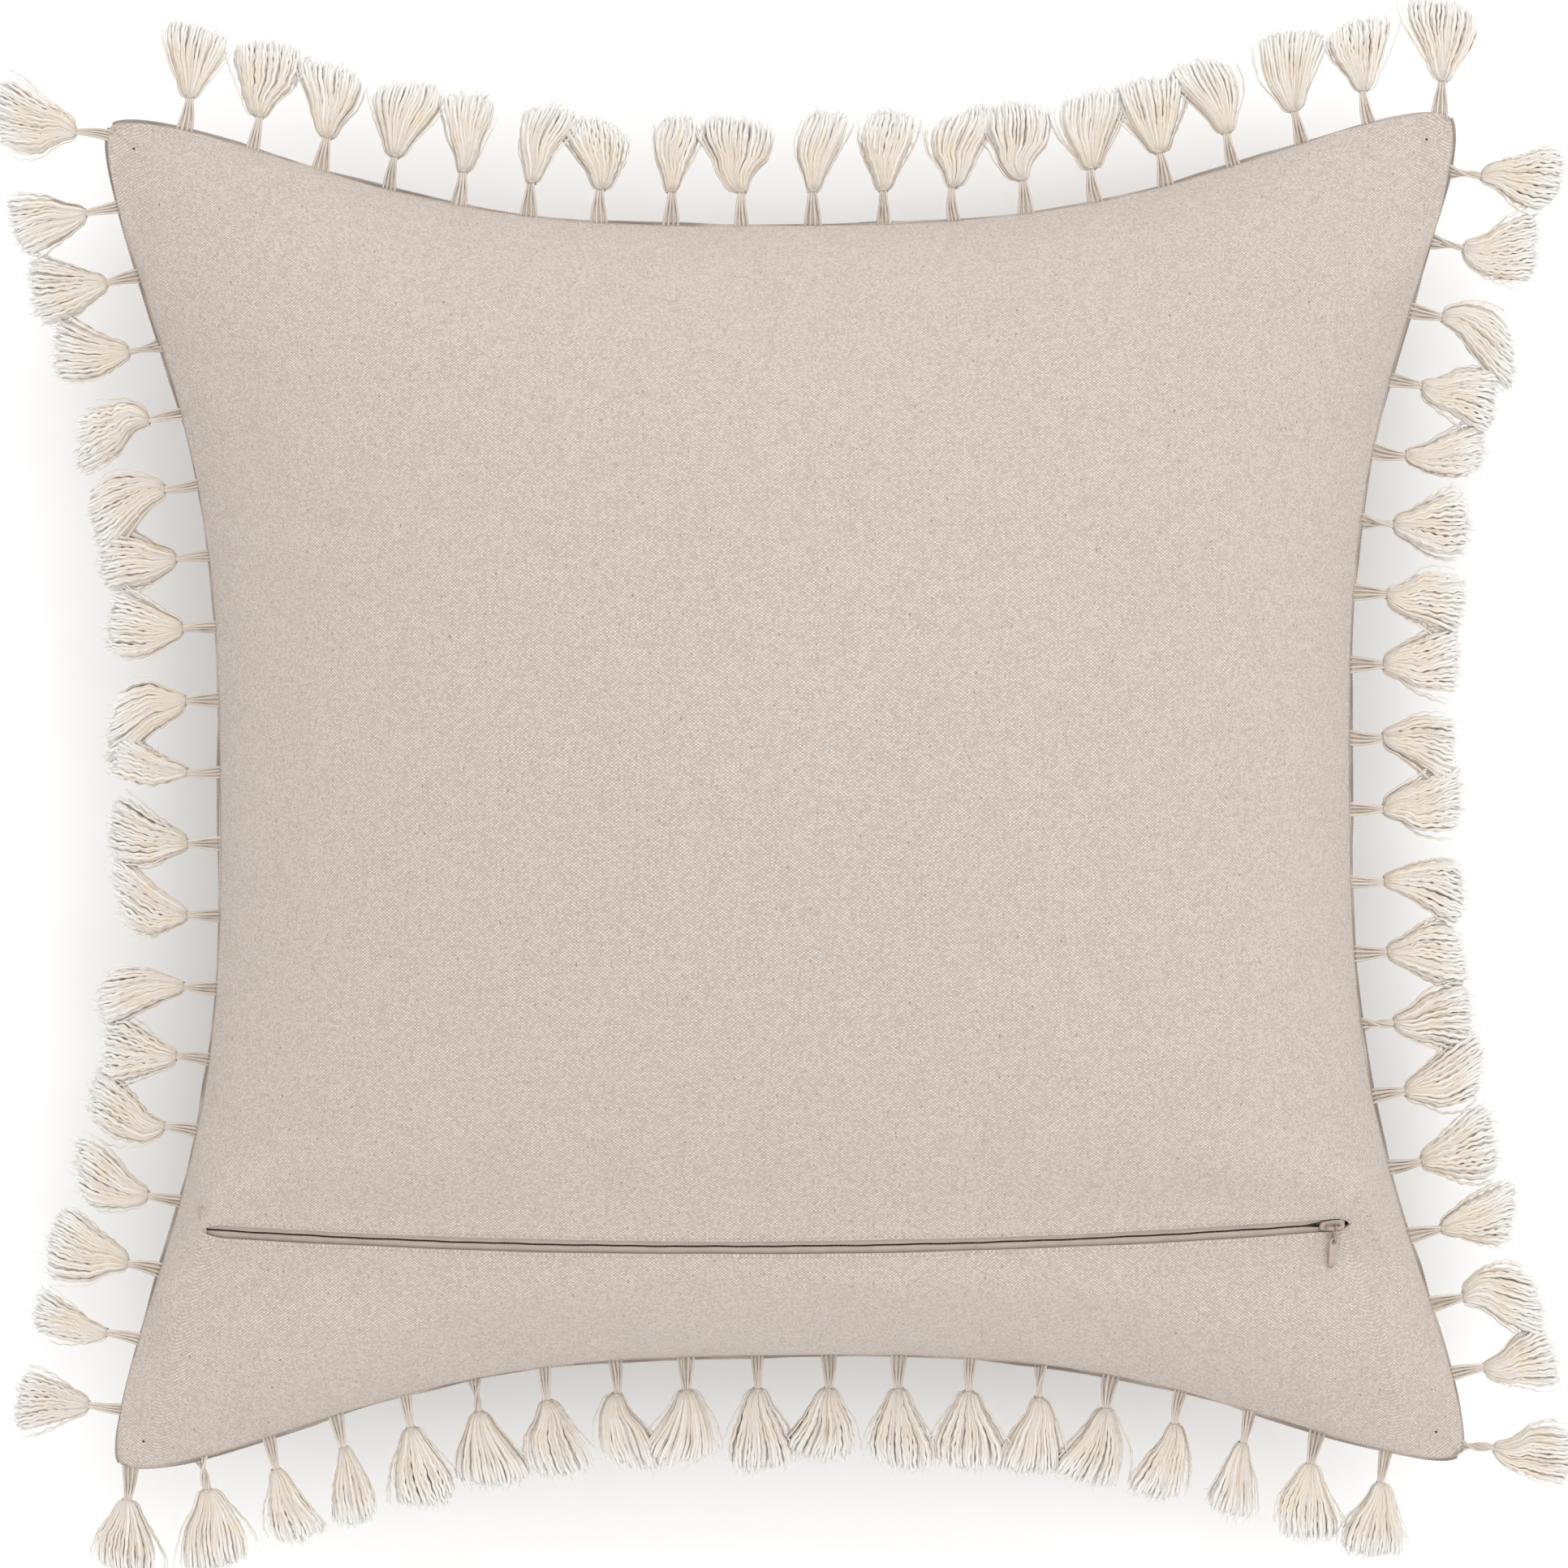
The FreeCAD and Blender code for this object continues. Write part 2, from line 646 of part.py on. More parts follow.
for side_name, number, _, _, members in tassel_groups:
    bundles = []
    ties = []
    for root, lateral, normal_up, point_out in members:
        place = frame_placement(root, lateral, normal_up, point_out)
        bundles.append(bundle.Shape.transformed(place.toMatrix()))
        ties.append(tie.Shape.transformed(place.toMatrix()))
    freeform(f"tassels_{side_name}_{number}", Part.makeCompound(bundles))
    freeform(f"tassel_ties_{side_name}_{number}", Part.makeCompound(ties))

# ---- corner tacks ----------------------------------------------------------------------------

tacks = []
tack_plan, tack_lift = station(size("tack_share"))
tack_height = size("back_crown") * tack_lift**2
for sign_x in (-1, 1):
    for sign_y in (-1, 1):
        x, y = plan_point(sign_x * tack_plan, sign_y * tack_plan, 0)
        height = seam_height + rim_gap + tack_height + 1.5 * size("tack_radius")
        tacks.append(Part.makeSphere(size("tack_radius"), Vector(x, y, height)))
freeform("corner_tacks", Part.makeCompound(tacks))

# ---- check and write -------------------------------------------------------------------------

doc.recompute()
for item in doc.Objects:
    if "Invalid" in item.State or "Error" in item.State:
        raise RuntimeError(f"{item.Label} failed to build: {item.State}")
os.makedirs("parts", exist_ok=True)
for node, feature in parts.items():
    shape = feature.Shape
    print(f"{node}: {len(shape.Solids)} solids, {shape.Volume / 1000:.3f} cm3")
    if shape.isNull() or not shape.isValid() or not shape.Solids:
        raise RuntimeError(f"{node} has no valid solid")
    shape.exportStep(f"parts/{node}.step")
print(f"zip radius {zip_radius:.1f} mm, slider travel from {zip_angle(size('slider_x')):.2f} deg")
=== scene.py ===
import json
import math

import bpy
import numpy as np
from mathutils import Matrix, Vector

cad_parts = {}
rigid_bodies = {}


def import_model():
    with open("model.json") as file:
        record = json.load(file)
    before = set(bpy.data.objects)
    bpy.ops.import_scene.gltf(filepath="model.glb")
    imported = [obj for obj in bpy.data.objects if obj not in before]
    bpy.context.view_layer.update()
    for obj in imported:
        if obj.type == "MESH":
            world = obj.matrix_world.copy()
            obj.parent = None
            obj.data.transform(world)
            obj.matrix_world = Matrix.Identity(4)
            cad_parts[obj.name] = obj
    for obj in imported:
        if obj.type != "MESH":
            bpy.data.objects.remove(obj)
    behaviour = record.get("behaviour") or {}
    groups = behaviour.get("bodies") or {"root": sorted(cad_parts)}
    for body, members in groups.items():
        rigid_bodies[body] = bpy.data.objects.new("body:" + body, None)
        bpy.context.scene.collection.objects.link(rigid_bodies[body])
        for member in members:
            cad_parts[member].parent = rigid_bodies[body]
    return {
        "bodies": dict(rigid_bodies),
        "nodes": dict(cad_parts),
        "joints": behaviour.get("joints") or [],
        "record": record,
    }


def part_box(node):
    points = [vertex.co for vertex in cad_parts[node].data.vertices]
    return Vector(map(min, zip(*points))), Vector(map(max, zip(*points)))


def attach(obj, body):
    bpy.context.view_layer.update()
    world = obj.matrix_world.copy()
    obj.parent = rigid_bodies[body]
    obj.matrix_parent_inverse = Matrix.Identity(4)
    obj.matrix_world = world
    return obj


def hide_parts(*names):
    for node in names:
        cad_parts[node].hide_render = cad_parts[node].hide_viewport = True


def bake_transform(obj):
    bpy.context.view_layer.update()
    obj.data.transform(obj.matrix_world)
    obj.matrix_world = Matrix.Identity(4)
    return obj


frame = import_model()
joints = {joint["name"]: joint for joint in frame["joints"]}
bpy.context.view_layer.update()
scene = bpy.context.scene
mm = 0.001


def say(stage):
    print(f"stage: {stage}", flush=True)


# Shared mesh helpers

def addAttribute(mesh, name, values, domain="POINT"):
    layer = mesh.attributes.new(name, "FLOAT", domain)
    layer.data.foreach_set("value", np.asarray(values, np.float32).ravel())


def makeObject(name, points, faces, material, attributes=None, smooth=True):
    mesh = bpy.data.meshes.new(name)
    mesh.from_pydata(np.asarray(points).tolist(), [], [tuple(face) for face in faces])
    for key, values in (attributes or {}).items():
        addAttribute(mesh, key, values)
    if smooth:
        mesh.shade_smooth()
    mesh.materials.append(material)
    mesh.update()
    made = bpy.data.objects.new(name, mesh)
    scene.collection.objects.link(made)
    return made


def unit(vectors):
    vectors = np.asarray(vectors, float)
    return vectors / np.maximum(np.linalg.norm(vectors, axis=-1, keepdims=True), 1e-12)


# Closed tubes along many paths of the same number of points: points, faces and attributes
def tubes(paths, radii, reference, sides, tone):
    count, steps, _ = paths.shape
    tangent = unit(np.gradient(paths, axis=1))
    across = unit(np.cross(tangent, reference))
    up = np.cross(across, tangent)
    angle = np.arange(sides) * 2 * np.pi / sides
    ring = (
        across[:, :, None] * np.cos(angle)[:, None]
        + up[:, :, None] * np.sin(angle)[:, None]
    )
    points = paths[:, :, None] + ring * radii[:, :, None, None]
    index = np.arange(count * steps * sides).reshape(count, steps, sides)
    ahead = np.roll(index, -1, axis=2)
    quads = np.stack(
        [index[:, :-1], ahead[:, :-1], ahead[:, 1:], index[:, 1:]], axis=-1
    ).reshape(-1, 4)
    caps = np.concatenate([index[:, 0, ::-1], index[:, -1]])
    run = np.concatenate(
        [np.zeros((count, 1)), np.cumsum(np.linalg.norm(np.diff(paths, axis=1), axis=2), axis=1)],
        axis=1,
    )
    attributes = {
        "strandToneAndRibShade": np.broadcast_to(tone[:, None, None], index.shape).ravel(),
        "strandRun": np.broadcast_to(run[:, :, None] / mm, index.shape).ravel(),
        "strandShare": np.broadcast_to((run / run[:, -1:])[:, :, None], index.shape).ravel(),
        "strandTurn": np.broadcast_to(np.arange(sides) / sides, index.shape).ravel(),
    }
    return points.reshape(-1, 3), quads.tolist() + caps.tolist(), attributes


# Several (points, faces, attributes) as one
def joinParts(parts):
    points, faces, attributes, offset = [], [], {}, 0
    for somePoints, someFaces, someAttributes in parts:
        points.append(somePoints)
        faces += [[corner + offset for corner in face] for face in someFaces]
        offset += len(somePoints)
        for key, values in someAttributes.items():
            attributes.setdefault(key, []).append(values)
    return np.concatenate(points), faces, {k: np.concatenate(v) for k, v in attributes.items()}


# Points and faces of a body made of rings, given as (rings, points of a ring, 3)
def ringedSurface(rings):
    rings = np.asarray(rings, float)
    count, around, _ = rings.shape
    index = np.arange(count * around).reshape(count, around)
    ahead = np.roll(index, -1, axis=1)
    faces = np.stack([index[:-1], ahead[:-1], ahead[1:], index[1:]], axis=-1).reshape(-1, 4)
    faces = faces.tolist()
    faces += [index[0, ::-1].tolist(), index[-1].tolist()]
    return rings.reshape(-1, 3), faces


# Materials

studioGain = 1.36         # the studio's light on a level surface; colours are given as seen in it


# A colour as it shows in the studio's light, 0 to 255 each, as the shader's linear colour
def linear(red, green, blue):
    def one(value):
        value /= 255
        value = value / 12.92 if value <= 0.04045 else ((value + 0.055) / 1.055) ** 2.4
        return value / studioGain
    return (one(red), one(green), one(blue), 1.0)


# Short calls for placing and joining nodes in a tree
class Nodes:
    def __init__(self, tree):
        self.tree = tree

    def add(self, kind, values=None, **settings):
        node = self.tree.nodes.new(kind)
        for key, value in settings.items():
            setattr(node, key, value)
        for key, value in (values or {}).items():
            if isinstance(value, bpy.types.NodeSocket):
                self.tree.links.new(value, node.inputs[key])
            else:
                node.inputs[key].default_value = value
        return node

    def math(self, operation, first, second=None, third=None):
        values = {0: first}
        if second is not None:
            values[1] = second
        if third is not None:
            values[2] = third
        return self.add("ShaderNodeMath", values, operation=operation).outputs[0]

    def attribute(self, name):
        return self.add("ShaderNodeAttribute", attribute_name=name).outputs["Fac"]

    def vector(self, x=0.0, y=0.0, z=0.0):
        return self.add("ShaderNodeCombineXYZ", {"X": x, "Y": y, "Z": z}).outputs[0]

    def noise(self, vector, scale=1.0, detail=2.0, roughness=0.5):
        return self.add(
            "ShaderNodeTexNoise",
            {"Vector": vector, "Scale": scale, "Detail": detail, "Roughness": roughness},
        ).outputs["Fac"]

    # 0 to 1 as a value goes from low to high, smoothly
    def ramp(self, value, low, high):
        return self.add(
            "ShaderNodeMapRange",
            {"Value": value, "From Min": low, "From Max": high},
            interpolation_type="SMOOTHSTEP",
        ).outputs["Result"]

    def mix(self, share, first, second):
        node = self.add("ShaderNodeMix", data_type="RGBA")
        for socket, value in ((0, share), (6, first), (7, second)):
            if isinstance(value, bpy.types.NodeSocket):
                self.tree.links.new(value, node.inputs[socket])
            else:
                node.inputs[socket].default_value = value
        return node.outputs[2]


def newGroup(name, inputs, outputs):
    tree = bpy.data.node_groups.new(name, "ShaderNodeTree")
    for label, kind, value in inputs:
        socket = tree.interface.new_socket(label, in_out="INPUT", socket_type=kind)
        if value is not None:
            socket.default_value = value
    for label, kind in outputs:
        tree.interface.new_socket(label, in_out="OUTPUT", socket_type=kind)
    nodes = Nodes(tree)
    return nodes, nodes.add("NodeGroupInput").outputs, nodes.add("NodeGroupOutput")


# Plain weave: which yarn is on top, the height of the cloth, yarn slubs and dark specks
def buildWeaveGroup():
    number = "NodeSocketFloat"
    nodes, given, out = newGroup(
        "plainWeave",
        [
            ("Across", number, None),
            ("Along", number, None),
            ("Warp pitch", number, 0.66),
            ("Weft pitch", number, 0.51),
            ("Slub length", number, 9.0),
        ],
        [("Warp up", number), ("Height", number), ("Slub", number), ("Speck", number),
         ("Grain", number)],
    )
    across, along = given["Across"], given["Along"]
    warp = nodes.math("DIVIDE", across, given["Warp pitch"])
    weft = nodes.math("DIVIDE", along, given["Weft pitch"])
    waveA = nodes.math("SINE", nodes.math("MULTIPLY", warp, math.pi))
    waveB = nodes.math("SINE", nodes.math("MULTIPLY", weft, math.pi))
    checker = nodes.math("MULTIPLY", waveA, waveB)
    warpUp = nodes.ramp(checker, -0.18, 0.18)
    height = nodes.math("POWER", nodes.math("ABSOLUTE", checker), 0.5)
    warpNumber = nodes.math("FLOOR", warp)
    weftNumber = nodes.math("FLOOR", weft)
    slow = nodes.math("DIVIDE", along, given["Slub length"])
    slowAcross = nodes.math("DIVIDE", across, given["Slub length"])
    warpSlub = nodes.noise(nodes.vector(nodes.math("MULTIPLY", warpNumber, 3.7), slow), 1.0, 2.0)
    weftSlub = nodes.noise(
        nodes.vector(nodes.math("MULTIPLY", weftNumber, 3.3), slowAcross, 7.0), 1.0, 2.0
    )
    slub = nodes.add(
        "ShaderNodeMix", {0: warpUp, 2: weftSlub, 3: warpSlub}, data_type="FLOAT"
    ).outputs[0]
    speckPlace = nodes.vector(
        nodes.math("DIVIDE", across, 0.9), nodes.math("DIVIDE", along, 1.9), 3.0
    )
    speck = nodes.ramp(nodes.noise(speckPlace, 1.0, 1.0), 0.68, 0.78)
    grain = nodes.add(
        "ShaderNodeTexWhiteNoise", {"Vector": nodes.vector(warpNumber, weftNumber)},
        noise_dimensions="2D",
    ).outputs["Value"]
    for label, value in (("Warp up", warpUp), ("Height", height), ("Slub", slub),
                         ("Speck", speck), ("Grain", grain)):
        nodes.tree.links.new(value, out.inputs[label])
    return nodes.tree


# Spiral plies of a spun yarn, from the run along it in mm and the turn around it
def buildTwistGroup():
    number = "NodeSocketFloat"
    nodes, given, out = newGroup(
        "yarnTwist",
        [("Run", number, None), ("Turn", number, None), ("Lay", number, 2.4)],
        [("Height", number)],
    )
    turns = nodes.math("ADD", nodes.math("DIVIDE", given["Run"], given["Lay"]), given["Turn"])
    wave = nodes.math("SINE", nodes.math("MULTIPLY", turns, 2 * math.pi))
    nodes.tree.links.new(nodes.math("MULTIPLY_ADD", wave, 0.5, 0.5), out.inputs["Height"])
    return nodes.tree


# Soft uneven mottling of cotton, wool or cloth, from a place in mm
def buildFuzzGroup():
    nodes, given, out = newGroup(
        "fibreMottle",
        [("Place", "NodeSocketVector", None), ("Size", "NodeSocketFloat", 6.0)],
        [("Fine", "NodeSocketFloat"), ("Broad", "NodeSocketFloat")],
    )
    place = nodes.add(
        "ShaderNodeVectorMath", {0: given["Place"], "Scale": 1000.0}, operation="SCALE"
    ).outputs[0]
    scale = nodes.math("DIVIDE", 1.0, given["Size"])
    broad = nodes.noise(place, scale, 2.0)
    fine = nodes.noise(place, nodes.math("MULTIPLY", scale, 9.0), 2.0)
    nodes.tree.links.new(fine, out.inputs["Fine"])
    nodes.tree.links.new(broad, out.inputs["Broad"])
    return nodes.tree


weaveGroup = buildWeaveGroup()
twistGroup = buildTwistGroup()
mottleGroup = buildFuzzGroup()


def newMaterial(name):
    material = bpy.data.materials.new(name)
    material.use_nodes = True
    nodes = Nodes(material.node_tree)
    return material, nodes, material.node_tree.nodes["Principled BSDF"]


# Join a material's colour, roughness and bump to its shader
def feed(nodes, shader, color=None, roughness=None, height=None, strength=0.3, distance=0.0002):
    if color is not None:
        nodes.tree.links.new(color, shader.inputs["Base Color"])
    if isinstance(roughness, bpy.types.NodeSocket):
        nodes.tree.links.new(roughness, shader.inputs["Roughness"])
    elif roughness is not None:
        shader.inputs["Roughness"].default_value = roughness
    if height is not None:
        bump = nodes.add(
            "ShaderNodeBump", {"Strength": strength, "Distance": distance, "Height": height}
        )
        nodes.tree.links.new(bump.outputs["Normal"], shader.inputs["Normal"])


def mottle(nodes, size):
    place = nodes.add("ShaderNodeTexCoord").outputs["Object"]
    return groupNode(nodes, mottleGroup, {"Place": place, "Size": size})


def groupNode(nodes, tree, values):
    node = nodes.add("ShaderNodeGroup", node_tree=tree)
    for key, value in values.items():
        if isinstance(value, bpy.types.NodeSocket):
            nodes.tree.links.new(value, node.inputs[key])
        else:
            node.inputs[key].default_value = value
    return node.outputs


# A plain woven cloth from the flat-cloth coordinates on the mesh
def clothMaterial(name, look):
    material, nodes, shader = newMaterial(name)
    weave = groupNode(nodes, weaveGroup, {
        "Across": nodes.attribute("clothAcross"),
        "Along": nodes.attribute("clothAlong"),
        "Warp pitch": look["warpPitch"],
        "Weft pitch": look["weftPitch"],
        "Slub length": look["slubLength"],
    })
    patches = mottle(nodes, look["patchSize"])
    base = nodes.mix(nodes.ramp(patches["Broad"], 0.35, 0.65), look["tone"], look["coolTone"])
    lighter = nodes.mix(weave["Warp up"], look["weftTone"], look["warpTone"])
    color = nodes.mix(look["weaveShare"], base, lighter)
    grain = nodes.math("MULTIPLY", weave["Grain"], look["grainShare"])
    color = nodes.mix(grain, color, look["grainTone"])
    slub = nodes.math("MULTIPLY", nodes.ramp(weave["Slub"], 0.56, 0.74), look["slubShare"])
    color = nodes.mix(slub, color, look["slubTone"])
    if "rowTone" in look:
        turn = nodes.math("MULTIPLY", nodes.attribute("clothAlong"), math.pi / look["rowPitch"])
        row = nodes.math("SINE", turn)
        color = nodes.mix(nodes.ramp(row, 0.2, 0.55), color, look["rowTone"])
    speck = nodes.math("MULTIPLY", weave["Speck"], look["speckShare"])
    dark = nodes.mix(speck, color, look["speckTone"])
    feed(nodes, shader, dark, 0.88, weave["Height"], look["relief"], look["reliefDepth"])
    shader.inputs["Sheen Weight"].default_value = 0.12
    shader.inputs["Sheen Roughness"].default_value = 0.6
    shader.inputs["Specular IOR Level"].default_value = 0.25
    return material


# Spun yarn on tubes that carry a strand tone, strandRun, strandShare and strandTurn; on the seam
# edge the strand tone is painted shade, darker between its ribs
def yarnMaterial(name, look):
    material, nodes, shader = newMaterial(name)
    twist = groupNode(nodes, twistGroup, {
        "Run": nodes.attribute("strandRun"),
        "Turn": nodes.attribute("strandTurn"),
        "Lay": look["lay"],
    })
    fuzz = mottle(nodes, look["patchSize"])
    # the strand tone sets each strand darker or lighter; on the seam edge it is painted shade,
    # darker in the grooves between ribs and lighter on their crests
    color = nodes.mix(nodes.attribute("strandToneAndRibShade"), look["darkTone"], look["tone"])
    color = nodes.mix(nodes.ramp(fuzz["Broad"], 0.4, 0.72), color, look["warmTone"])
    color = nodes.mix(nodes.ramp(nodes.attribute("strandShare"), 0.55, 1.0), color, look["endTone"])
    height = nodes.math("MULTIPLY_ADD", fuzz["Fine"], 0.8, twist["Height"])
    feed(nodes, shader, color, 0.92, height, 0.35, 0.00018)
    shader.inputs["Sheen Weight"].default_value = 0.25
    shader.inputs["Specular IOR Level"].default_value = 0.2
    shader.inputs["Subsurface Weight"].default_value = look["glow"]
    shader.inputs["Subsurface Radius"].default_value = (0.002, 0.0018, 0.0015)
    shader.inputs["Subsurface Scale"].default_value = 1.0
    return material


# Thread, tape, plastic or metal with fine mottling
def plainMaterial(name, look):
    material, nodes, shader = newMaterial(name)
    fuzz = mottle(nodes, look["grain"])
    color = nodes.mix(nodes.ramp(fuzz["Broad"], 0.3, 0.7), look["tone"], look["otherTone"])
    rough = nodes.math("MULTIPLY_ADD", fuzz["Fine"], 0.12, look["roughness"])
    relief, depth = look.get("relief", 0.15), look.get("depth", 0.0001)
    feed(nodes, shader, color, rough, fuzz["Fine"], relief, depth)
    shader.inputs["Metallic"].default_value = look.get("metallic", 0.0)
    return material


looks = {
    "backCloth": {
        "warpPitch": 0.66, "weftPitch": 0.51, "slubLength": 5.0, "patchSize": 70.0,
        "tone": linear(222, 209, 199), "coolTone": linear(217, 206, 199),
        "warpTone": linear(240, 230, 221), "weftTone": linear(198, 183, 172), "weaveShare": 0.8,
        "grainTone": linear(180, 165, 154), "grainShare": 0.62,
        "slubTone": linear(176, 162, 151), "slubShare": 0.5,
        "speckTone": linear(118, 104, 92), "speckShare": 0.62,
        "relief": 0.5, "reliefDepth": 0.00016,
    },
    "frontCloth": {
        "warpPitch": 1.5, "weftPitch": 1.3, "slubLength": 14.0, "patchSize": 60.0,
        "tone": linear(158, 147, 137), "coolTone": linear(146, 137, 130),
        "warpTone": linear(178, 166, 155), "weftTone": linear(126, 116, 107), "weaveShare": 0.6,
        "grainTone": linear(110, 101, 93), "grainShare": 0.5,
        "slubTone": linear(112, 103, 95), "slubShare": 0.5,
        "speckTone": linear(84, 76, 69), "speckShare": 0.5, "relief": 0.8, "reliefDepth": 0.0005,
        "rowTone": linear(226, 216, 204), "rowPitch": 26.0,
    },
    "casing": {
        "warpPitch": 0.5, "weftPitch": 0.5, "slubLength": 9.0, "patchSize": 40.0,
        "tone": linear(236, 235, 232), "coolTone": linear(230, 230, 229),
        "warpTone": linear(242, 241, 239), "weftTone": linear(226, 225, 222), "weaveShare": 0.5,
        "grainTone": linear(224, 223, 220), "grainShare": 0.3,
        "slubTone": linear(228, 227, 224), "slubShare": 0.3,
        "speckTone": linear(220, 219, 216), "speckShare": 0.2,
        "relief": 0.3, "reliefDepth": 0.0001,
    },
    "fringe": {
        "tone": linear(252, 243, 233), "darkTone": linear(228, 212, 194),
        "warmTone": linear(246, 231, 212), "endTone": linear(253, 249, 243),
        "lay": 2.6, "patchSize": 7.0, "glow": 0.2,
    },
    "neck": {
        "tone": linear(232, 220, 209), "darkTone": linear(192, 178, 165),
        "warmTone": linear(220, 206, 192), "endTone": linear(243, 233, 222),
        "lay": 1.9, "patchSize": 4.0, "glow": 0.06,
    },
    # The seam edge is a dark grey-brown yarn; from darkTone to tone it also carries painted shade,
    # darker between its ribs
    "edge": {
        "tone": linear(162, 151, 141), "darkTone": linear(112, 103, 94),
        "warmTone": linear(182, 170, 158), "endTone": linear(150, 139, 129),
        "lay": 1.4, "patchSize": 22.0, "glow": 0.0,
    },
    "band": {"tone": linear(206, 193, 180), "otherTone": linear(150, 138, 127), "grain": 16.0,
             "roughness": 0.82, "relief": 0.5, "depth": 0.0004},
    "thread": {"tone": linear(204, 190, 178), "otherTone": linear(190, 176, 164), "grain": 2.0,
               "roughness": 0.75},
    "darkThread": {"tone": linear(84, 74, 66), "otherTone": linear(66, 58, 52), "grain": 1.5,
                   "roughness": 0.8},
    "tape": {"tone": linear(202, 187, 177), "otherTone": linear(194, 178, 168), "grain": 5.0,
             "roughness": 0.78, "relief": 0.3},
    "coil": {"tone": linear(120, 103, 92), "otherTone": linear(104, 89, 80), "grain": 3.0,
             "roughness": 0.42},
    "paint": {"tone": linear(196, 178, 166), "otherTone": linear(184, 166, 153), "grain": 4.0,
              "roughness": 0.34, "metallic": 0.25, "relief": 0.05},
    "wire": {"tone": linear(190, 173, 159), "otherTone": linear(150, 134, 122), "grain": 2.0,
             "roughness": 0.25, "metallic": 0.8, "relief": 0.05},
    "tab": {"tone": linear(199, 183, 168), "otherTone": linear(188, 171, 157), "grain": 3.0,
            "roughness": 0.4, "relief": 0.08},
    "filling": {"tone": linear(243, 243, 241), "otherTone": linear(233, 234, 235), "grain": 12.0,
                "roughness": 0.9, "relief": 0.8, "depth": 0.001},
}
backCloth = clothMaterial("backCloth", looks["backCloth"])
frontCloth = clothMaterial("frontCloth", looks["frontCloth"])
casingCloth = clothMaterial("casingCloth", looks["casing"])
fringeYarn = yarnMaterial("fringeYarn", looks["fringe"])
neckYarn = yarnMaterial("neckYarn", looks["neck"])
edgeYarn = yarnMaterial("edgeYarn", looks["edge"])
bandCotton = plainMaterial("bandCotton", looks["band"])
sewingThread = plainMaterial("sewingThread", looks["thread"])
darkThread = plainMaterial("darkThread", looks["darkThread"])
zipTape = plainMaterial("zipTape", looks["tape"])
zipCoil = plainMaterial("zipCoil", looks["coil"])
sliderPaint = plainMaterial("sliderPaint", looks["paint"])
linkWire = plainMaterial("linkWire", looks["wire"])
pullPaint = plainMaterial("pullPaint", looks["tab"])
fibreFilling = plainMaterial("fibreFilling", looks["filling"])
say("materials")

# The cover's form, placed from the frame's boxes

cover = {
    "sideSag": 36.0,          # mm that each side pulls in at its middle
    "edgeFlare": 0.15,
    "cornerCut": 0.0095,      # how much the corners' tips are drawn in
    "cornerSharp": 48,        # higher keeps the rounding nearer to the tip
    "zipHalfChord": 187.0,
    "zipPlanSag": 5.0,
    "zipRise": 29.0,
    "zipCrossSlope": 20.0,
    "columns": 221,
    "rowsUpper": 190,
    "rowsLower": 56,
    "frontRows": 181,
    "puckerHeight": 0.75,     # mm, soft gathers beside the seam
    "puckerReach": 20.0,
    "simMove": 2.2,           # mm, the most the cloth simulation may move a point
}
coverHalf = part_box("front_panel")[1].x / mm
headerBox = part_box("fringe_header")
seamZ = (headerBox[0].z + headerBox[1].z) / 2 / mm
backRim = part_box("back_panel_upper")[0].z / mm
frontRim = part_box("front_panel")[1].z / mm
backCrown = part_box("back_panel_upper")[1].z / mm - backRim
frontCrown = 76.0

zipSag = math.hypot(cover["zipPlanSag"], cover["zipRise"])
zipRadius = (cover["zipHalfChord"] ** 2 + zipSag**2) / (2 * zipSag)
zipAxis = np.array(joints["slider_run"]["axis"])
zipCentre = np.array(joints["slider_run"]["pos_m"]) / mm
zipUp = np.cross(zipAxis, [1.0, 0.0, 0.0])
zipUp = unit(zipUp if zipUp[2] > 0 else -zipUp)
crossSlope = math.radians(cover["zipCrossSlope"])
zipAcross = np.array([0.0, math.cos(crossSlope), math.sin(crossSlope)])
acrossUp, acrossAxis = zipAcross @ zipUp, zipAcross @ zipAxis


# Point on the zip's line and its along, across and outward directions, for each x in mm
def zipFrame(x):
    x = np.atleast_1d(np.asarray(x, float))
    turn = np.arcsin(x / zipRadius)
    cosine, sine = np.cos(turn)[:, None], np.sin(turn)[:, None]

    def turned(v):
        v = np.asarray(v, float)
        return v * cosine + np.cross(zipAxis, v) * sine + zipAxis * (zipAxis @ v) * (1 - cosine)

    along, across = turned([1.0, 0.0, 0.0]), turned(zipAcross)
    return zipCentre + turned(zipUp) * zipRadius, along, across, np.cross(along, across)


def zipPlanY(x):
    return zipCentre[1] + np.sqrt(zipRadius**2 - x**2) * zipUp[1]


# Height of the conical band that holds the zip's tapes
def zipBandZ(x, y):
    across = np.zeros_like(x)
    for _ in range(8):
        up = np.sqrt((zipRadius + across * acrossUp) ** 2 - x**2)
        alongAxis = (y - zipCentre[1] - up * zipUp[1]) / zipAxis[1]
        across = alongAxis / acrossAxis
    return zipCentre[2] + up * zipUp[2] + alongAxis * zipAxis[2]


def smoothStep(value):
    value = np.clip(value, 0, 1)
    return value * value * (3 - 2 * value)


def pullIn(fraction):
    return 1 - cover["sideSag"] / coverHalf * (1 - np.abs(fraction) ** 3) ** 2


def planPoint(across, up):
    cut = 1 - cover["cornerCut"] * np.abs(across * up) ** cover["cornerSharp"]
    half = coverHalf * cut
    return half * across * pullIn(up), half * up * pullIn(across)


def plan(share):
    flare = cover["edgeFlare"]
    return (1 - flare) * np.sin(np.pi / 2 * share) + flare * share


shareTable = np.linspace(-1, 1, 2001)


def shareOf(planFraction):
    return np.interp(planFraction, plan(shareTable), shareTable)


